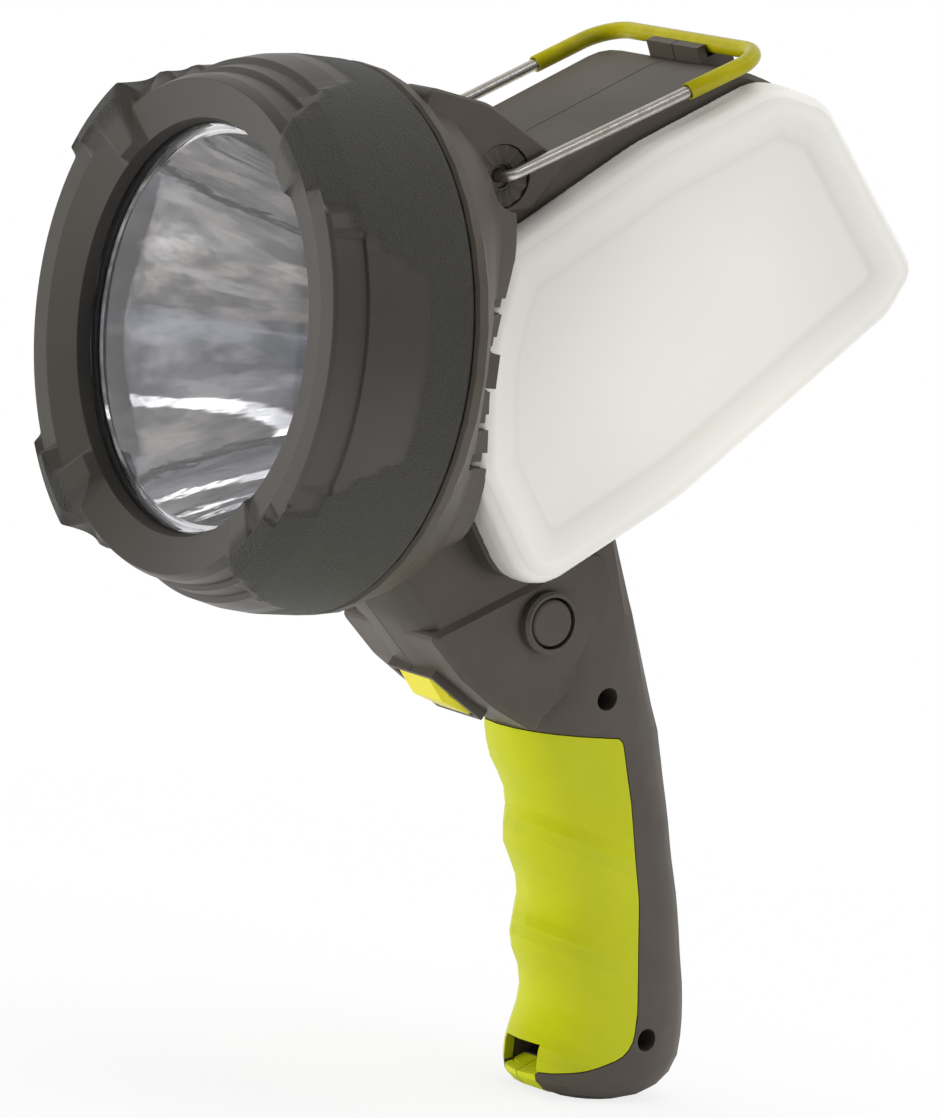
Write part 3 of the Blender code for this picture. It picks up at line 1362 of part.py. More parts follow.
def main_board():
    """The driver board standing on the middle plane of the lantern core, with two parts on it."""
    half = MAIN_BOARD_THICKNESS / 2
    low = (-half, MAIN_BOARD_Y - MAIN_BOARD_LENGTH / 2, MAIN_BOARD_Z - MAIN_BOARD_HEIGHT / 2)
    high = (half, MAIN_BOARD_Y + MAIN_BOARD_LENGTH / 2, MAIN_BOARD_Z + MAIN_BOARD_HEIGHT / 2)
    made = box("main_board", low, high)
    for share in MAIN_CHIP_SHARES:
        y = low[1] + MAIN_BOARD_LENGTH * share
        side = MAIN_CHIP_HEIGHT
        low_corner = (0.0, y - side, MAIN_BOARD_Z - side)
        add(made, box("chip", low_corner, (half + side, y + side, MAIN_BOARD_Z + side)))
    return finish(made, board_green())


def inlet_y():
    return handle_point(INLET_Z, 1.0) + INLET_STAND


def socket_hole():
    """The hole in the handle's back that the charging inlet sits in."""
    hole = INLET_RADIUS + CLEARANCE
    floor = inlet_y() - INLET_LENGTH - CLEARANCE
    return rod_y("hole", (0.0, INLET_Z), [(floor, hole), (inlet_y() + OVERRUN, hole)])


def charge_socket():
    """The round charging inlet in the handle's back, with its centre pin."""
    place = (0.0, INLET_Z)
    face = inlet_y()
    made = rod_y("charge_socket", place, [(face - INLET_LENGTH, INLET_RADIUS), (face, INLET_RADIUS)])
    floor, bore = face - INLET_BORE_DEPTH, INLET_BORE_RADIUS
    cut(made, rod_y("bore", place, [(floor, bore), (face + OVERRUN, bore)], None, 20))
    foot, thin = face - (INLET_LENGTH + INLET_BORE_DEPTH) / 2, INLET_PIN_RADIUS
    add(made, rod_y("pin", place, [(foot, thin), (face - thin, thin)], None, 10))
    return finish(made, switch_black())


def screw(name, place, floor):
    """A pan-head screw with a socket, its head on the pocket's floor and its shank towards -X."""
    seat = floor + CLEARANCE
    up, crown = SCREW_HEAD_SHARES
    made = rod_x(name, place, [
        (seat - SCREW_LENGTH, SCREW_SHANK_RADIUS), (seat, SCREW_SHANK_RADIUS), (seat, SCREW_HEAD_RADIUS),
        (seat + SCREW_HEAD_HEIGHT * up, SCREW_HEAD_RADIUS),
        (seat + SCREW_HEAD_HEIGHT, SCREW_HEAD_RADIUS * crown),
    ], None, 16)
    top = seat + SCREW_HEAD_HEIGHT
    cut(made, rod_x("socket", place, [
        (top - SCREW_SOCKET_DEPTH, SCREW_SOCKET_RADIUS), (top + OVERRUN, SCREW_SOCKET_RADIUS)], None, 6))
    return finish(made, screw_steel())


def main():
    clear_scene()
    bezel()
    lens()
    lens_gasket()
    reflector()
    beam_led()
    beam_led_board()
    heat_sink()
    housing_shells()
    diffuser(1.0, "diffuser_right")
    diffuser(-1.0, "diffuser_left")
    lantern_board(1.0, "lantern_board_right")
    lantern_board(-1.0, "lantern_board_left")
    grip_sleeve()
    trigger()
    trigger_switch()
    side_button()
    button_switch()
    bail_wire()
    bail_sleeve()
    detent_ring(1.0, "detent_ring_right")
    detent_ring(-1.0, "detent_ring_left")
    battery_cell()
    main_board()
    charge_socket()
    names = ("handle_screw_upper", "handle_screw_lower", "lantern_screw_front", "lantern_screw_rear")
    for name, (place, floor, _) in zip(names, screw_seat_list()):
        screw(name, place, floor)


main()
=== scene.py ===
import math
import bpy
from mathutils import Matrix, Vector


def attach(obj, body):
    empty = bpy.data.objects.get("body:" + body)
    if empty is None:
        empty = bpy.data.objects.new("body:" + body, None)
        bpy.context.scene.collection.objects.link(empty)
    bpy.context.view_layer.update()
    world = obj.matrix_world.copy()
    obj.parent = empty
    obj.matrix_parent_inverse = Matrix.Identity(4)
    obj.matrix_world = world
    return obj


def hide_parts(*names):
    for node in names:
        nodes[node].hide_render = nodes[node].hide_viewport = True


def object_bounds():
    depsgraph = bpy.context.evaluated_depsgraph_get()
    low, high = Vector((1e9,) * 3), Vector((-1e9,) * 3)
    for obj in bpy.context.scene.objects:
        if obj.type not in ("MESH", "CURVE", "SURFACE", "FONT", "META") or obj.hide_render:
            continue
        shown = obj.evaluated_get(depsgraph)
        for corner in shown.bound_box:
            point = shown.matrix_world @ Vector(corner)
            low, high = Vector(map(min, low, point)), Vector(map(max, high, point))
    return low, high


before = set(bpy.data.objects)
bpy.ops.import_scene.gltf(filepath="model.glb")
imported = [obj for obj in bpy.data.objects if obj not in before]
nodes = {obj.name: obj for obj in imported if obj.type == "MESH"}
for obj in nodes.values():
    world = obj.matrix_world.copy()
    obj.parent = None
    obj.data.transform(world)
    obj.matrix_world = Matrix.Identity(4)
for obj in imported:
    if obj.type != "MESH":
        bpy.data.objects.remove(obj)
cad_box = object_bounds()


def feed(tree, made, inputs):
    """Fills a node's inputs: another node's output is linked, anything else is the value itself."""
    for key, value in inputs.items():
        if isinstance(value, bpy.types.NodeSocket):
            tree.links.new(value, made.inputs[key])
        else:
            made.inputs[key].default_value = value
    return made


def node(tree, kind, inputs, **settings):
    made = tree.nodes.new(kind)
    for key, value in settings.items():
        setattr(made, key, value)
    return feed(tree, made, inputs)


def object_place(tree):
    return tree.nodes.new("ShaderNodeTexCoord").outputs["Object"]


def noise(tree, place, scale, detail, roughness=0.5):
    return node(tree, "ShaderNodeTexNoise", {
        "Vector": place, "Scale": scale, "Detail": detail, "Roughness": roughness,
    }).outputs["Fac"]


def number(tree, operation, *terms):
    """The result of one Math node, whose inputs are the terms in their order."""
    return node(tree, "ShaderNodeMath", dict(enumerate(terms)), operation=operation).outputs["Value"]


def vector(tree, operation, *terms, output="Vector"):
    """The same for a Vector Math node. A length, distance or dot product comes from its Value."""
    return node(tree, "ShaderNodeVectorMath", dict(enumerate(terms)), operation=operation).outputs[output]


def split(tree, source):
    return node(tree, "ShaderNodeSeparateXYZ", {"Vector": source}).outputs


def mapped(tree, value, before, after, smooth=False):
    """Maps a value from one span of numbers to another, held at its ends."""
    return node(tree, "ShaderNodeMapRange", {
        "Value": value, "From Min": before[0], "From Max": before[1], "To Min": after[0], "To Max": after[1],
    }, interpolation_type="SMOOTHSTEP" if smooth else "LINEAR").outputs["Result"]


def blended(tree, share, first, second):
    """Mixes two colours. The numbers are the places of a Mix node's colour sockets."""
    return node(tree, "ShaderNodeMix", {"Factor": share, 6: first, 7: second}, data_type="RGBA").outputs[2]


def ramp(tree, value, stops):
    """Turns a value into a colour that runs between the stops, each a position and a colour."""
    made = node(tree, "ShaderNodeValToRGB", {"Fac": value})
    while len(made.color_ramp.elements) < len(stops):
        made.color_ramp.elements.new(0.5)
    for element, (position, colour) in zip(made.color_ramp.elements, stops):
        element.position = position
        element.color = (*colour, 1.0)
    return made.outputs["Color"]


def bumped(tree, height, distance, strength=1.0):
    made = node(tree, "ShaderNodeBump", {"Height": height, "Strength": strength, "Distance": distance})
    return made.outputs["Normal"]


def fresh_material(name):
    """A new node material, its node tree and its Principled shader."""
    made = bpy.data.materials.new(name)
    made.use_nodes = True
    return made, made.node_tree, made.node_tree.nodes["Principled BSDF"]


def grained(name, dark, light, roughness, grain, depth, mottle=60.0, spread=0.06):
    """Moulded plastic or rubber: two close tones in soft patches, with a fine grain as bump."""
    made, tree, shader = fresh_material(name)
    place = object_place(tree)
    speckle = noise(tree, place, scale=grain, detail=3.0, roughness=0.55)
    patches = noise(tree, place, scale=mottle, detail=5.0, roughness=0.6)
    feed(tree, shader, {
        "Base Color": ramp(tree, patches, [(0.30, dark), (0.72, light)]),
        "Roughness": mapped(tree, speckle, (0.0, 1.0), (roughness - spread, roughness + spread)),
        "Normal": bumped(tree, speckle, distance=depth),
    })
    return made, tree, shader


def dress(name, material):
    """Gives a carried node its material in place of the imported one."""
    piece = nodes[name]
    piece.data.materials.clear()
    piece.data.materials.append(material)
    return piece


def merged(piece):
    """Joins a node's loose triangles, which already point the right way, in a live modifier."""
    for face in piece.data.polygons:
        face.use_smooth = True
    merge = piece.modifiers.new("merge", "WELD")
    merge.merge_threshold = 0.00001
    return piece


def soften(piece, width):
    """Rounds a node's sharp edges, as a mould would."""
    flat = merged(piece).modifiers.new("flat", "DECIMATE")
    flat.decimate_type = "DISSOLVE"
    flat.angle_limit = math.radians(0.4)
    edge = piece.modifiers.new("edge", "BEVEL")
    edge.width = width
    edge.segments = 2
    edge.limit_method = "ANGLE"
    edge.angle_limit = math.radians(28.0)
    even = piece.modifiers.new("even", "WEIGHTED_NORMAL")
    even.keep_sharp = False


housing_grey, tree, shader = grained(
    "housing_grey", (0.056, 0.047, 0.037), (0.070, 0.059, 0.047),
    roughness=0.50, grain=1700.0, depth=0.00005)
bar_centre, bar_half_size = (0.0, 0.1235, -0.1788), (0.00635, 0.0044, 0.0043)
bar_lime = (0.45, 0.49, 0.006, 1.0)
from_bar = vector(tree, "SUBTRACT", object_place(tree), bar_centre)
across_bar = split(tree, vector(tree, "ABSOLUTE", vector(tree, "DIVIDE", from_bar, bar_half_size)))
outmost = number(tree, "MAXIMUM", number(tree, "MAXIMUM", across_bar["X"], across_bar["Y"]), across_bar["Z"])
grey = shader.inputs["Base Color"].links[0].from_socket
feed(tree, shader, {
    "Base Color": blended(tree, number(tree, "LESS_THAN", outmost, 1.0), grey, bar_lime),
    "Specular IOR Level": 0.38,
})
for side in ("right", "left"):
    soften(dress("housing_" + side, housing_grey), width=0.0003)

# Bezel: a soft-touch ring moulded over the head, with four grained lugs and smooth stepped windows
# between them; it screws over the shells' spigot. Its profile changes with the angle, which no
# edit-mode tool gives, so its skin is laid as a grid of rounded profiles.
bezel_front, bezel_length, head_radius = -0.0090, 0.0410, 0.0661
# Each row: (place along, radius) as shares at a lug, a side window and a top window, then the angles
# at which the lug starts and ends.
bezel_rows = (
    ((0.083, 0.7595), (0.073, 0.8775), (0.073, 0.8775), 43.0, 58.5),
    ((0.004, 0.9300), (0.068, 0.9592), (0.107, 0.8896), 35.5, 59.5),
    ((0.037, 0.9860), (0.088, 0.9728), (0.139, 0.8986), 31.0, 61.0),
    ((0.256, 1.0000), (0.268, 0.9773), (0.278, 0.9092), 25.6, 66.0),
    ((0.283, 1.0000), (0.276, 0.9924), (0.284, 0.9289), 25.0, 66.6),
    ((0.400, 1.0000), (0.400, 0.9968), (0.401, 0.9470), 21.6, 70.0),
    ((0.410, 1.0000), (0.409, 0.9974), (0.408, 0.9682), 21.0, 70.6),
    ((0.561, 1.0000), (0.561, 0.9990), (0.561, 0.9910), 18.0, 73.0),
    ((0.707, 1.0000), (0.707, 1.0000), (0.707, 1.0000), 16.5, 74.0),
    ((0.955, 0.9985), (0.955, 0.9985), (0.955, 0.9985), 16.5, 74.0),
    ((0.990, 0.9864), (0.990, 0.9864), (0.990, 0.9864), 16.5, 74.0),
    ((1.000, 0.9710), (1.000, 0.9710), (1.000, 0.9710), 16.5, 74.0),
)
first_grained_row = 8
# How a lug rises from its window, in degrees: how late it starts, over how many, and along what curve.
flank_lag, flank_turn = 0.4, 1.8
crown_lag, crown_turn, crown_curve = 2.4, 4.5, 1.74
# The lip's and the bore's corners, as (place along, radius).
lip = [(0.0003, 0.0482), (bezel_front + 0.144 * bezel_length, 0.7413 * head_radius)]
bore = [(0.0320, 0.0610), (0.0140, 0.0610), (0.0084, 0.0575), (0.0044, 0.0513), (0.0003, 0.0513)]
columns, fillet, fillet_share = 1080, 0.00020, 0.25


def clamped(value):
    return min(1.0, max(0.0, value))


def bezel_profile(angle):
    """The closed profile at one angle, and for each corner how grained the skin is there."""
    turn = angle % 180.0
    turn = min(turn, 180.0 - turn)
    corners = [Vector(point) for point in lip]
    grain = [0.0, 0.0]
    for row, (lug, flank, crown, first, last) in enumerate(bezel_rows):
        if turn < (first + last) / 2:
            share = clamped((turn - first - flank_lag) / flank_turn)
            away = flank
        else:
            share = 1.0 - (1.0 - clamped((last - crown_lag - turn) / crown_turn)) ** crown_curve
            away = crown
        y, radius = (share * a + (1.0 - share) * b for a, b in zip(lug, away))
        corners.append(Vector((bezel_front + y * bezel_length, radius * head_radius)))
        grain.append(1.0 if row >= first_grained_row else (share if row else 0.0))
    corners += [Vector(point) for point in bore]
    return corners, grain + [0.0] * len(bore)


def pick(piece):
    """Links a new piece and makes it the only selected one."""
    bpy.context.scene.collection.objects.link(piece)
    bpy.ops.object.select_all(action="DESELECT")
    bpy.context.view_layer.objects.active = piece
    piece.select_set(True)


def face_outward(merge_distance=0.0):
    """In edit mode: merges a mesh's doubles, turns its faces outwards and goes back to object mode."""
    bpy.ops.mesh.select_all(action="SELECT")
    if merge_distance:
        bpy.ops.mesh.remove_doubles(threshold=merge_distance)
    bpy.ops.mesh.normals_make_consistent(inside=False)
    bpy.ops.object.mode_set(mode="OBJECT")


skin, faces, roughened = [], [], []
for column in range(columns):
    angle = 360.0 * column / columns
    corners, grain = bezel_profile(angle)
    across, over = math.cos(math.radians(angle)), math.sin(math.radians(angle))
    for i, corner in enumerate(corners):
        before, after = corners[i - 1] - corner, corners[(i + 1) % len(corners)] - corner
        first = corner + before.normalized() * min(fillet, before.length * fillet_share)
        last = corner + after.normalized() * min(fillet, after.length * fillet_share)
        for cut in (0.0, 0.5, 1.0):
            point = first * (1 - cut) ** 2 + corner * 2 * cut * (1 - cut) + last * cut ** 2
            skin.append((point.y * across, point.x, point.y * over))
            roughened.append(grain[i])
height = len(skin) // columns
for column in range(columns):
    here, beside = column * height, (column + 1) % columns * height
    for row in range(height):
        above = (row + 1) % height
        faces.append((here + row, here + above, beside + above, beside + row))
mesh = bpy.data.meshes.new("bezel_ring")
mesh.from_pydata(skin, [], faces)
mesh.attributes.new("grain", "FLOAT", "POINT").data.foreach_set("value", roughened)
bezel = bpy.data.objects.new("bezel_ring", mesh)
pick(bezel)
bpy.ops.object.mode_set(mode="EDIT")
face_outward()
bpy.ops.object.shade_smooth()
even = bezel.modifiers.new("even", "WEIGHTED_NORMAL")
even.keep_sharp = False


def scaled(tree, colour, factor):
    made = node(tree, "ShaderNodeVectorMath", {0: colour, "Scale": factor}, operation="SCALE")
    return made.outputs["Vector"]


bezel_grain, tree, shader = fresh_material("bezel_grain")
place = object_place(tree)
where = node(tree, "ShaderNodeAttribute", {}, attribute_name="grain").outputs["Fac"]
on_lug = mapped(tree, where, (0.45, 0.90), (0.0, 1.0), smooth=True)
tone = blended(tree, on_lug, (0.037, 0.033, 0.027, 1.0), (0.0275, 0.0265, 0.0215, 1.0))
patches = noise(tree, place, scale=45.0, detail=4.0, roughness=0.6)
grain_strength = mapped(tree, on_lug, (0.0, 1.0), (0.06, 1.0))
pebbles = noise(tree, place, scale=1900.0, detail=2.0)
feed(tree, shader, {
    "Base Color": scaled(tree, tone, mapped(tree, patches, (0.0, 1.0), (0.88, 1.12))),
    "Roughness": mapped(tree, on_lug, (0.0, 1.0), (0.40, 0.56)),
    "Normal": bumped(tree, pebbles, distance=0.00062, strength=grain_strength),
})
bezel.data.materials.append(bezel_grain)
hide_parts("bezel")
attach(bezel, "light")

# Clear lens: a polished disc, cast in one piece. Its rim is stepped back so that the bezel's lip
# holds it, and the face stands free.


def turned(name, outline, steps=180):
    """Spins a closed outline of (y, radius) points about the beam's axis."""
    bpy.ops.object.select_all(action="DESELECT")
    bpy.ops.mesh.primitive_circle_add(vertices=len(outline), radius=0.01)
    piece = bpy.context.object
    piece.name = piece.data.name = name
    for vertex, (y, radius) in zip(piece.data.vertices, outline):
        vertex.co = (radius, y, 0.0)
    bpy.ops.object.mode_set(mode="EDIT")
    bpy.ops.mesh.select_all(action="SELECT")
    bpy.ops.mesh.spin(steps=steps, angle=math.tau, center=(0.0, 0.0, 0.0), axis=(0.0, 1.0, 0.0))
    face_outward(0.000002)
    bpy.ops.object.shade_smooth_by_angle(angle=math.radians(35.0))
    return piece


lens_clear, tree, shader = fresh_material("lens_clear")
haze = noise(tree, object_place(tree), scale=120.0, detail=4.0)
feed(tree, shader, {
    "Base Color": (0.985, 0.99, 0.99, 1.0), "Transmission Weight": 1.0, "IOR": 1.46,
    "Roughness": mapped(tree, haze, (0.0, 1.0), (0.0, 0.012)),
})
lens_radius, lens_thickness, lens_chamfer = 0.0510, 0.0025, 0.0002
face_radius, face_step = 0.0474, 0.0006
lens = turned("lens_disc", [
    (0.0, 0.0), (0.0, face_radius), (0.0001, face_radius + 0.0004), (face_step, face_radius + 0.0005),
    (face_step, lens_radius - lens_chamfer), (face_step + lens_chamfer, lens_radius),
    (lens_thickness - lens_chamfer, lens_radius), (lens_thickness, lens_radius - lens_chamfer),
    (lens_thickness, 0.0),
])
lens.data.materials.append(lens_clear)
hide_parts("lens")
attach(lens, "light")

# Gasket: a flat grey ring between the lens and the reflector's flange, cut from sheet silicone. The
# bezel presses the three together.
silicone = grained(
    "seal_black", (0.16, 0.16, 0.158), (0.21, 0.21, 0.208),
    roughness=0.5, grain=1500.0, depth=0.00004)[0]
soften(dress("lens_gasket", silicone), width=0.0001)

# Reflector: a moulded bowl with a flat flange at its mouth, a parabola from there to its neck,
# metallised inside and out. Its coat follows the faint waves of the moulding.
mirror_coat, tree, shader = fresh_material("mirror_coat")
place = object_place(tree)
spoke = vector(tree, "NORMALIZE", vector(tree, "MULTIPLY", place, (1.0, 0.0, 1.0)))
wave_place = vector(tree, "MULTIPLY_ADD", place, (0.0, 14.0, 0.0), spoke)
ripple = noise(tree, wave_place, scale=4.2, detail=3.0)
feed(tree, shader, {
    "Base Color": (0.83, 0.83, 0.845, 1.0), "Metallic": 1.0,
    "Roughness": mapped(tree, ripple, (0.0, 1.0), (0.02, 0.06)),
    "Normal": bumped(tree, ripple, distance=0.00022),
})
bowl_front, bowl_depth, bowl_neck = 0.0041, 0.0400, 0.0085
bowl_mouth, bowl_back, bowl_wall = 0.0450, 0.0465, 0.0014
flange_thickness, flange_radius, flange_step = 0.0015, 0.0510, 0.0007
bowl_steps = 28
inside, outside = [], []
for step in range(bowl_steps + 1):
    share = step / bowl_steps
    depth = bowl_depth * share
    radius = math.sqrt(bowl_mouth ** 2 + (bowl_neck ** 2 - bowl_mouth ** 2) * share)
    inside.append((bowl_front + depth, radius))
    if depth > flange_thickness + 0.0003:
        radius = math.sqrt(bowl_back ** 2 + (bowl_neck ** 2 - bowl_back ** 2) * share)
        outside.append((bowl_front + depth, radius + bowl_wall))
reflector = turned("reflector_bowl", inside + outside[::-1] + [
    (bowl_front + flange_thickness, bowl_back + bowl_wall),
    (bowl_front + flange_thickness, flange_radius - 0.0001),
    (bowl_front + 0.0013, flange_radius), (bowl_front + 0.0002, flange_radius),
    (bowl_front, flange_radius - 0.0002), (bowl_front, bowl_mouth + 0.0020),
    (bowl_front + flange_step, bowl_mouth + 0.0014), (bowl_front + flange_step, bowl_mouth + 0.0008),
], steps=220)
reflector.data.materials.append(mirror_coat)
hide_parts("reflector")
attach(reflector, "light")

# Light source at the bowl's neck: a phosphor chip under a dome, on a round white board, screwed to
# a turned aluminium heat sink. The flat boards behind the covers are of the same white kind.
phosphor = grained(
    "led_phosphor", (0.72, 0.50, 0.06), (0.86, 0.66, 0.14),
    roughness=0.18, grain=900.0, depth=0.00001, mottle=300.0, spread=0.04)[0]
soften(dress("beam_led", phosphor), width=0.0001)
solder_white = grained(
    "board_white", (0.68, 0.68, 0.64), (0.78, 0.78, 0.75),
    roughness=0.42, grain=1100.0, depth=0.00001, mottle=90.0)[0]
for name in ("beam_led_board", "lantern_board_right", "lantern_board_left"):
    soften(dress(name, solder_white), width=0.0001)
aluminium, tree, shader = grained(
    "sink_aluminium", (0.56, 0.57, 0.58), (0.70, 0.71, 0.72),
    roughness=0.34, grain=1300.0, depth=0.00002, mottle=200.0)
feed(tree, shader, {"Metallic": 1.0})
soften(dress("heat_sink", aluminium), width=0.0002)

# Lantern covers: milky translucent plastic, one on each flank, injection moulded with a soft raised
# rim round a shallow dish and clipped into the core's trays. Their colour holds painted light: a paler
# middle painted as light shining through, painted shade toward the neck, and a painted shade band along the
# dish's step.
milky, tree, shader = fresh_material("milky_cover")
place = object_place(tree)
cover_middle, neck_corner = (0.0, -0.118, -0.012), (0.030, 0.052, 0.052)
painted_glow_start, painted_glow_end, neck_shade_reach = 0.022, 0.062, 0.085
step_shade_start, step_shade_end = 0.0355, 0.0375
centred = node(tree, "ShaderNodeMapping", {"Vector": place, "Location": cover_middle}, vector_type="POINT")
flattened = vector(tree, "MULTIPLY", centred.outputs["Vector"], (0.0, 1.0, 1.0))
glow_distance = vector(tree, "LENGTH", flattened, output="Value")
clouds = noise(tree, place, scale=22.0, detail=3.0)
drift = number(tree, "MULTIPLY_ADD", clouds, 0.012, glow_distance)
# Painted light: the middle is paler, as if lit through from behind, fading to a darker rim.
tone = ramp(tree, mapped(tree, drift, (painted_glow_start, painted_glow_end), (0.0, 1.0), smooth=True), [
    (0.0, (0.860, 0.838, 0.772)), (1.0, (0.765, 0.755, 0.708)),
])
# Painted shade: darker toward the neck, where the bezel and neck would shade the cover.
neck_shade_distance = vector(tree, "DISTANCE", place, neck_corner, output="Value")
painted_neck_shade = mapped(tree, neck_shade_distance, (0.0, neck_shade_reach), (0.71, 0.90), smooth=True)
outward = number(tree, "ABSOLUTE", split(tree, place)["X"])
# Painted shade: a darker band along the dish's step.
painted_step_shade = ramp(tree, mapped(tree, outward, (step_shade_start, step_shade_end), (0.0, 1.0)), [
    (0.27, (1.0, 1.0, 1.0)), (0.37, (0.90, 0.89, 0.87)), (0.56, (0.94, 0.94, 0.93)), (0.82, (1.0, 1.0, 1.0)),
])
frost = noise(tree, place, scale=700.0, detail=2.0)
feed(tree, shader, {
    "Base Color": scaled(tree, vector(tree, "MULTIPLY", tone, painted_step_shade), painted_neck_shade),
    "Roughness": 0.36,
    "Subsurface Weight": 0.35, "Subsurface Radius": (0.006, 0.0055, 0.0045), "Subsurface Scale": 1.0,
    "Normal": bumped(tree, frost, distance=0.000012, strength=0.5),
})
for side in ("right", "left"):
    cover = merged(dress("diffuser_" + side, milky))
    even = cover.modifiers.new("even", "REMESH")
    even.mode = "VOXEL"
    even.voxel_size = 0.0007
    even.use_smooth_shade = True
    relax = cover.modifiers.new("relax", "SMOOTH")
    relax.factor = 0.5
    relax.iterations = 4

# Lime finger grip: a rubber sleeve moulded over the handle, with four finger waves and a slot for
# the wrist strap below. The waves' crests run back over the side and fade.
lime_rubber, tree, shader = grained(
    "lime_rubber", (0.376, 0.404, 0.003), (0.420, 0.448, 0.004),
    roughness=0.46, grain=1300.0, depth=0.00004, mottle=40.0)
wave_slant, wave_foot, wave_head = 0.3, -0.1505, -0.0555
fade_start, fade_end = 0.121, 0.149
place = split(tree, object_place(tree))
slanted = number(tree, "MULTIPLY_ADD", place["Y"], wave_slant, place["Z"])
crests = ramp(tree, mapped(tree, slanted, (wave_foot, wave_head), (0.0, 1.0)), [
    (crest + shift, (tall, tall, tall))
    for crest in (0.175, 0.467, 0.727)
    for shift, tall in ((-0.110, 0.0), (-0.035, 0.30), (0.0, 1.0), (0.035, 0.42), (0.110, 0.0))
])
inward = mapped(tree, place["Y"], (fade_start, fade_end), (1.0, 0.0), smooth=True)
ridges = bumped(tree, number(tree, "MULTIPLY", crests, inward), distance=0.0016)
grain_bump = shader.inputs["Normal"].links[0].from_node
feed(tree, grain_bump, {"Normal": ridges})
feed(tree, shader, {"Specular IOR Level": 0.3})
soften(dress("grip_sleeve", lime_rubber), width=0.0005)

# Trigger: the same lime rubber over a hard core. It slides into the body under the finger, and a
# spring behind it pushes it out again.
trigger_lime = grained(
    "trigger_lime", (0.58, 0.52, 0.008), (0.64, 0.58, 0.012),
    roughness=0.44, grain=1300.0, depth=0.00003, mottle=40.0)[0]
soften(dress("trigger", trigger_lime), width=0.0005)

# Push button: a grey moulding that slides in its collar on the right flank. The trigger's switch, on
# posts of the shells, and the charging inlet in the handle's back are black mouldings.
soften(dress("side_button", housing_grey), width=0.0003)
switch_black = grained(
    "switch_black", (0.018, 0.018, 0.018), (0.034, 0.034, 0.034),
    roughness=0.42, grain=900.0, depth=0.00002)[0]
for name in ("trigger_switch", "charge_socket"):
    soften(dress(name, switch_black), width=0.0001)

# Circuit boards: glass-fibre sheet under a green solder mask, with copper that shows as paler
# tracks. They stand on posts of the shells.
board_green, tree, shader = fresh_material("board_green")
tracks = node(tree, "ShaderNodeTexWave", {
    "Vector": object_place(tree), "Scale": 160.0, "Distortion": 3.0,
}, wave_type="BANDS", bands_direction="Y").outputs["Fac"]
feed(tree, shader, {
    "Base Color": ramp(tree, tracks, [(0.42, (0.012, 0.105, 0.042)), (0.55, (0.030, 0.190, 0.080))]),
    "Roughness": 0.32,
})
for name in ("main_board", "button_switch"):
    soften(dress(name, board_green), width=0.0001)

# Battery cell: a steel can in a blue shrink wrap that is dull where it creases. It lies in the
# handle between the shells.
wrap = grained(
    "cell_wrap", (0.028, 0.095, 0.270), (0.045, 0.140, 0.360),
    roughness=0.30, grain=500.0, depth=0.00003, mottle=120.0)[0]
soften(dress("battery_cell", wrap), width=0.0003)

# Screws: zinc-plated steel, a little darker where the plating is thin. They cut their own thread in
# the shells' posts.
zinc, tree, shader = grained(
    "screw_zinc", (0.30, 0.29, 0.28), (0.46, 0.46, 0.45),
    roughness=0.34, grain=1800.0, depth=0.00002, mottle=500.0)
feed(tree, shader, {"Metallic": 1.0})
for name in ("handle_screw_upper", "handle_screw_lower", "lantern_screw_front", "lantern_screw_rear"):
    soften(dress(name, zinc), width=0.0001)

# Detent rings: ribbed washers of hard grey plastic round the bail's pins, pressed into the ears.
# Their ribs hold the bail where it is put.
for side in ("right", "left"):
    soften(dress("detent_ring_" + side, housing_grey), width=0.0001)

# Bail: a steel wire bent cold to a U, with its pins sprung into the ears. A vinyl tube, pushed on
# before the last bend, covers the crossbar and the ends of the legs.
pivot = Vector((0.0, 0.0605, 0.0437))
crossbar = Vector((0.0, 0.13023, 0.07954))
pin_reach, leg_reach, corner_reach = 0.0190, 0.0298, 0.0322
pin_end, leg_start = pivot + Vector((pin_reach, 0.0, 0.0)), pivot + Vector((leg_reach, 0.0, 0.0))
corner = crossbar + Vector((corner_reach, 0.0, 0.0))
pin_bend, corner_bend = 0.0030, 0.0090
wire_radius, tube_radius, tube_wall, tube_on_leg = 0.00145, 0.00212, 0.00045, 0.0245
arc_steps = 14


def bent(points, radii):
    """A centre line through points, with an arc at each inner corner."""
    path = [points[0]]
    for here, before, after, radius in zip(points[1:-1], points, points[2:], radii):
        back, ahead = (before - here).normalized(), (after - here).normalized()
        half = back.angle(ahead) / 2
        middle = here + (back + ahead).normalized() * (radius / math.sin(half))
        first = here + back * (radius / math.tan(half)) - middle
        last = here + ahead * (radius / math.tan(half)) - middle
        sweep = first.angle(last)
        for step in range(arc_steps + 1):
            share = step / arc_steps
            mixed = first * math.sin((1 - share) * sweep) + last * math.sin(share * sweep)
            path.append(middle + mixed / math.sin(sweep))
    return path + [points[-1]]


def rod(name, half, radius, capped):
    """A round rod along a path and its mirror image, drawn as a curve and turned into a mesh."""
    path = half[:-1] + [Vector((-p.x, p.y, p.z)) for p in reversed(half[:-1])]
    line = bpy.data.curves.new(name, "CURVE")
    line.dimensions = "3D"
    line.bevel_depth = radius
    line.bevel_resolution = 10
    line.use_fill_caps = capped
    spline = line.splines.new("POLY")
    spline.points.add(len(path) - 1)
    for point, place in zip(spline.points, path):
        point.co = (*place, 1.0)
    pick(bpy.data.objects.new(name, line))
    bpy.ops.object.convert(target="MESH")
    bpy.ops.object.mode_set(mode="EDIT")
    face_outward(0.000002)
    bpy.ops.object.shade_smooth_by_angle(angle=math.radians(40.0))
    return bpy.context.object


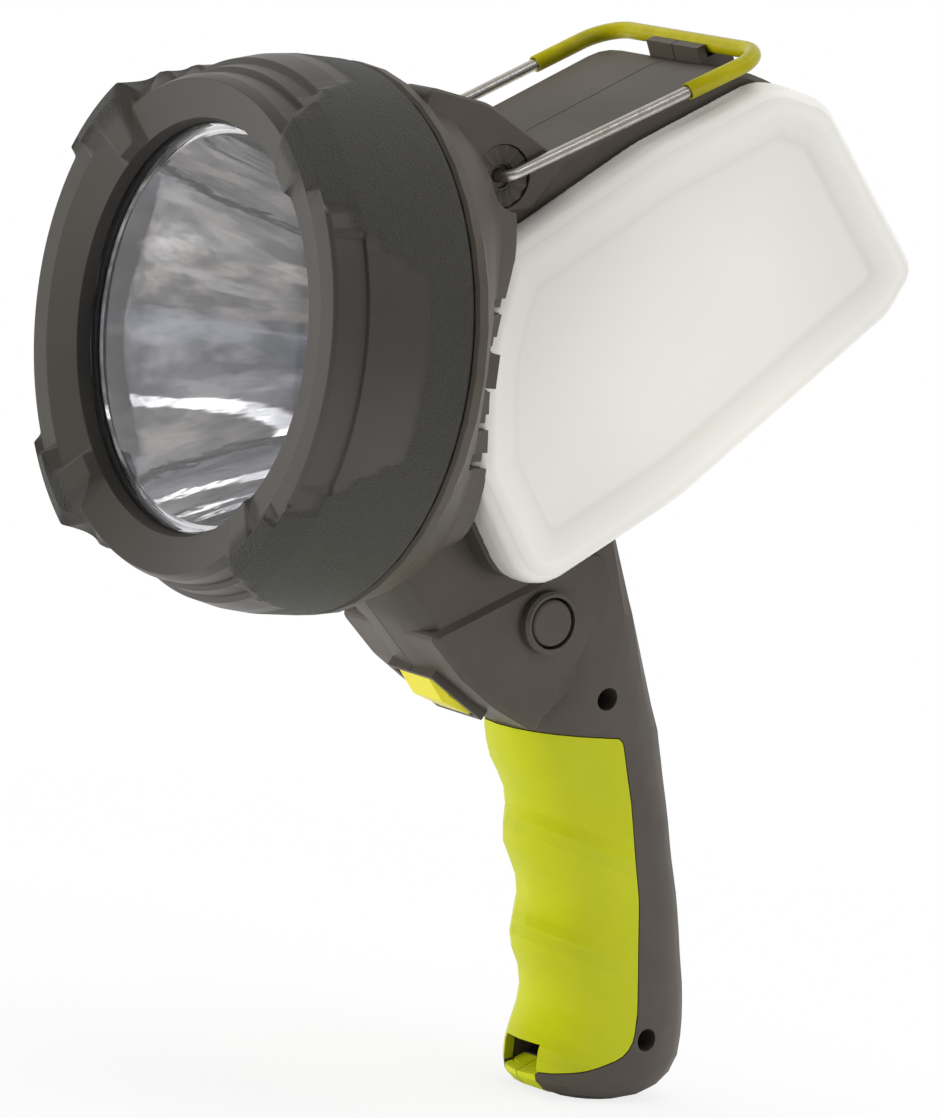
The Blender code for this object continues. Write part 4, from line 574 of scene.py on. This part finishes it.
half_wire = bent([pin_end, leg_start, corner, crossbar], (pin_bend, corner_bend))
wire = rod("bail_rod", half_wire, wire_radius, True)
steel, tree, shader = fresh_material("wire_steel")
spots = noise(tree, object_place(tree), scale=300.0, detail=4.0, roughness=0.55)
feed(tree, shader, {
    "Base Color": ramp(tree, spots, [
        (0.24, (0.46, 0.41, 0.35)), (0.40, (0.58, 0.55, 0.50)), (0.66, (0.66, 0.63, 0.59)),
    ]),
    "Metallic": 1.0,
    "Roughness": mapped(tree, spots, (0.0, 1.0), (0.42, 0.24)),
    "Normal": bumped(tree, spots, distance=0.00003, strength=0.6),
})
wire.data.materials.append(steel)
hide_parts("bail_wire")
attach(wire, "bail")

leg_end = corner + (leg_start - corner).normalized() * tube_on_leg
half_tube = bent([leg_end, corner, crossbar], (corner_bend,))
sleeve = rod("bail_tube", half_tube, tube_radius, False)
wall = sleeve.modifiers.new("wall", "SOLIDIFY")
wall.thickness = tube_wall
wall.offset = -1.0
wall.use_rim = True
bpy.ops.object.modifier_apply(modifier="wall")
vinyl, tree, shader = grained(
    "sleeve_vinyl", (0.300, 0.270, 0.001), (0.370, 0.333, 0.001),
    roughness=0.24, grain=900.0, depth=0.00002, mottle=200.0)
feed(tree, shader, {"Specular IOR Level": 0.34})
sleeve.data.materials.append(vinyl)
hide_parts("bail_sleeve")
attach(sleeve, "bail")

# Floor and backdrop: a plain white sweep. Near the object it takes a soft shadow, and farther out it
# fades to the backdrop's white.
floor_radius, floor_height = 0.9, cad_box[0][2] - 0.0004
bpy.ops.object.select_all(action="DESELECT")
bpy.ops.mesh.primitive_circle_add(
    vertices=64, radius=floor_radius, fill_type="NGON", location=(0.0, 0.0, floor_height))
floor = bpy.context.object
floor.name = "floor"
sweep, tree, shader = fresh_material("floor_white")
feed(tree, shader, {"Base Color": (0.93, 0.93, 0.93, 1.0), "Roughness": 0.9})
from_middle = vector(tree, "LENGTH", object_place(tree), output="Value")
fade = mapped(tree, from_middle, (0.10, 0.60), (0.80, 1.0), smooth=True)
seen = tree.nodes.new("ShaderNodeLightPath").outputs["Is Camera Ray"]
glow = node(tree, "ShaderNodeEmission", {"Strength": 1.0}).outputs["Emission"]
blend = node(tree, "ShaderNodeMixShader", {
    "Fac": number(tree, "MULTIPLY", seen, fade), 1: shader.outputs["BSDF"], 2: glow,
})
feed(tree, tree.nodes["Material Output"], {"Surface": blend.outputs["Shader"]})
floor.data.materials.append(sweep)
floor.visible_transmission = False

# Studio: a soft darker room with one bright strip high up that the bowl and the wire mirror, a pale
# panel at the left, white paper behind the object, and pure white where the camera looks past it.
world = bpy.data.worlds.new("studio")
bpy.context.scene.world = world
world.use_nodes = True
tree = world.node_tree
panel_side, paper_side = (-0.80, -0.59, -0.11), (-0.81, 0.59, 0.0)
toward = tree.nodes.new("ShaderNodeTexCoord").outputs["Generated"]
parts = split(tree, toward)
room = ramp(tree, mapped(tree, parts["Z"], (-1.0, 1.0), (0.0, 1.0)), [
    (0.00, (0.52, 0.50, 0.48)), (0.40, (0.46, 0.43, 0.41)), (0.455, (0.30, 0.29, 0.30)),
    (0.50, (0.34, 0.36, 0.42)), (0.862, (0.40, 0.40, 0.43)), (0.870, (3.4, 3.4, 3.4)),
    (0.895, (3.4, 3.4, 3.4)), (0.900, (0.42, 0.40, 0.38)), (1.00, (0.36, 0.35, 0.34)),
])
things = ramp(tree, noise(tree, toward, scale=3.4, detail=3.0, roughness=0.6), [
    (0.40, (0.55, 0.55, 0.58)), (0.50, (1.0, 1.0, 1.0)), (0.62, (1.75, 1.70, 1.66)),
])
ahead = mapped(tree, parts["Y"], (-0.75, 0.35), (0.42, 1.0), smooth=True)
furnished = scaled(tree, vector(tree, "MULTIPLY", room, things), ahead)
panel_facing = vector(tree, "DOT_PRODUCT", toward, panel_side, output="Value")
lit = vector(tree, "ADD", furnished, mapped(tree, panel_facing, (0.93, 0.965), (0.0, 0.8), smooth=True))
paper_facing = vector(tree, "DOT_PRODUCT", toward, paper_side, output="Value")
on_paper = mapped(tree, paper_facing, (0.05, 0.60), (0.0, 1.0), smooth=True)
hung = blended(tree, on_paper, lit, (0.82, 0.82, 0.82, 1.0))
seen = tree.nodes.new("ShaderNodeLightPath").outputs["Is Camera Ray"]
feed(tree, tree.nodes["Background"], {
    "Color": blended(tree, seen, hung, (1.0, 1.0, 1.0, 1.0)), "Strength": 1.0,
})
# Three soft boxes: one overhead, a low strip in front of the lens, and one at the push button's side.
for name, stand, aim, wide, high, power in (
    ("box_top", (0.1, 0.1, 1.5), (0.0, 0.08, -0.02), 1.3, 1.0, 13.0),
    ("box_front", (-0.65, -1.5, -0.05), (0.0, 0.0, -0.05), 1.2, 0.25, 32.0),
    ("box_right", (1.5, 0.45, 0.02), (0.0, 0.1, -0.02), 0.9, 0.4, 11.0),
):
    lamp = bpy.data.lights.new(name, "AREA")
    lamp.shape = "RECTANGLE"
    lamp.size, lamp.size_y = wide, high
    lamp.energy = power
    box = bpy.data.objects.new(name, lamp)
    bpy.context.scene.collection.objects.link(box)
    box.visible_glossy = box.visible_transmission = False
    box.location = stand
    box.rotation_euler = (Vector(aim) - Vector(stand)).to_track_quat("-Z", "Y").to_euler()

# Camera at the photograph's angle. It was fitted to the bezel's circles and the lantern's corners,
# and is shifted sideways and down to the photograph's framing.
azimuth, elevation, roll = 0.941882, 0.108771, 0.13278
distance, shift_right, shift_down = 1.514496, 0.067767, 0.05422
turned_about = Vector((0.0, -0.006, 0.0))
focal_pixels, photo_height, sensor_size = 6500.0, 1118.0, 36.0
back = Vector((
    math.sin(azimuth) * math.cos(elevation), -math.cos(azimuth) * math.cos(elevation), math.sin(elevation),
))
level_right = Vector((math.cos(azimuth), math.sin(azimuth), 0.0))
level_up = back.cross(level_right)
right = level_right * math.cos(roll) + level_up * math.sin(roll)
up = level_up * math.cos(roll) - level_right * math.sin(roll)
eye = back * distance + right * shift_right - up * shift_down + turned_about
camera_data = bpy.data.cameras.new("camera")
camera_data.lens = focal_pixels / photo_height * sensor_size
camera_data.sensor_width = sensor_size
camera_data.clip_start = 0.01
camera_data.clip_end = 60.0
camera = bpy.data.objects.new("camera", camera_data)
bpy.context.scene.collection.objects.link(camera)
camera.matrix_world = Matrix((
    (right.x, up.x, back.x, eye.x), (right.y, up.y, back.y, eye.y), (right.z, up.z, back.z, eye.z),
    (0.0, 0.0, 0.0, 1.0),
))
bpy.context.scene.camera = camera
bpy.context.scene.view_settings.view_transform = "Standard"
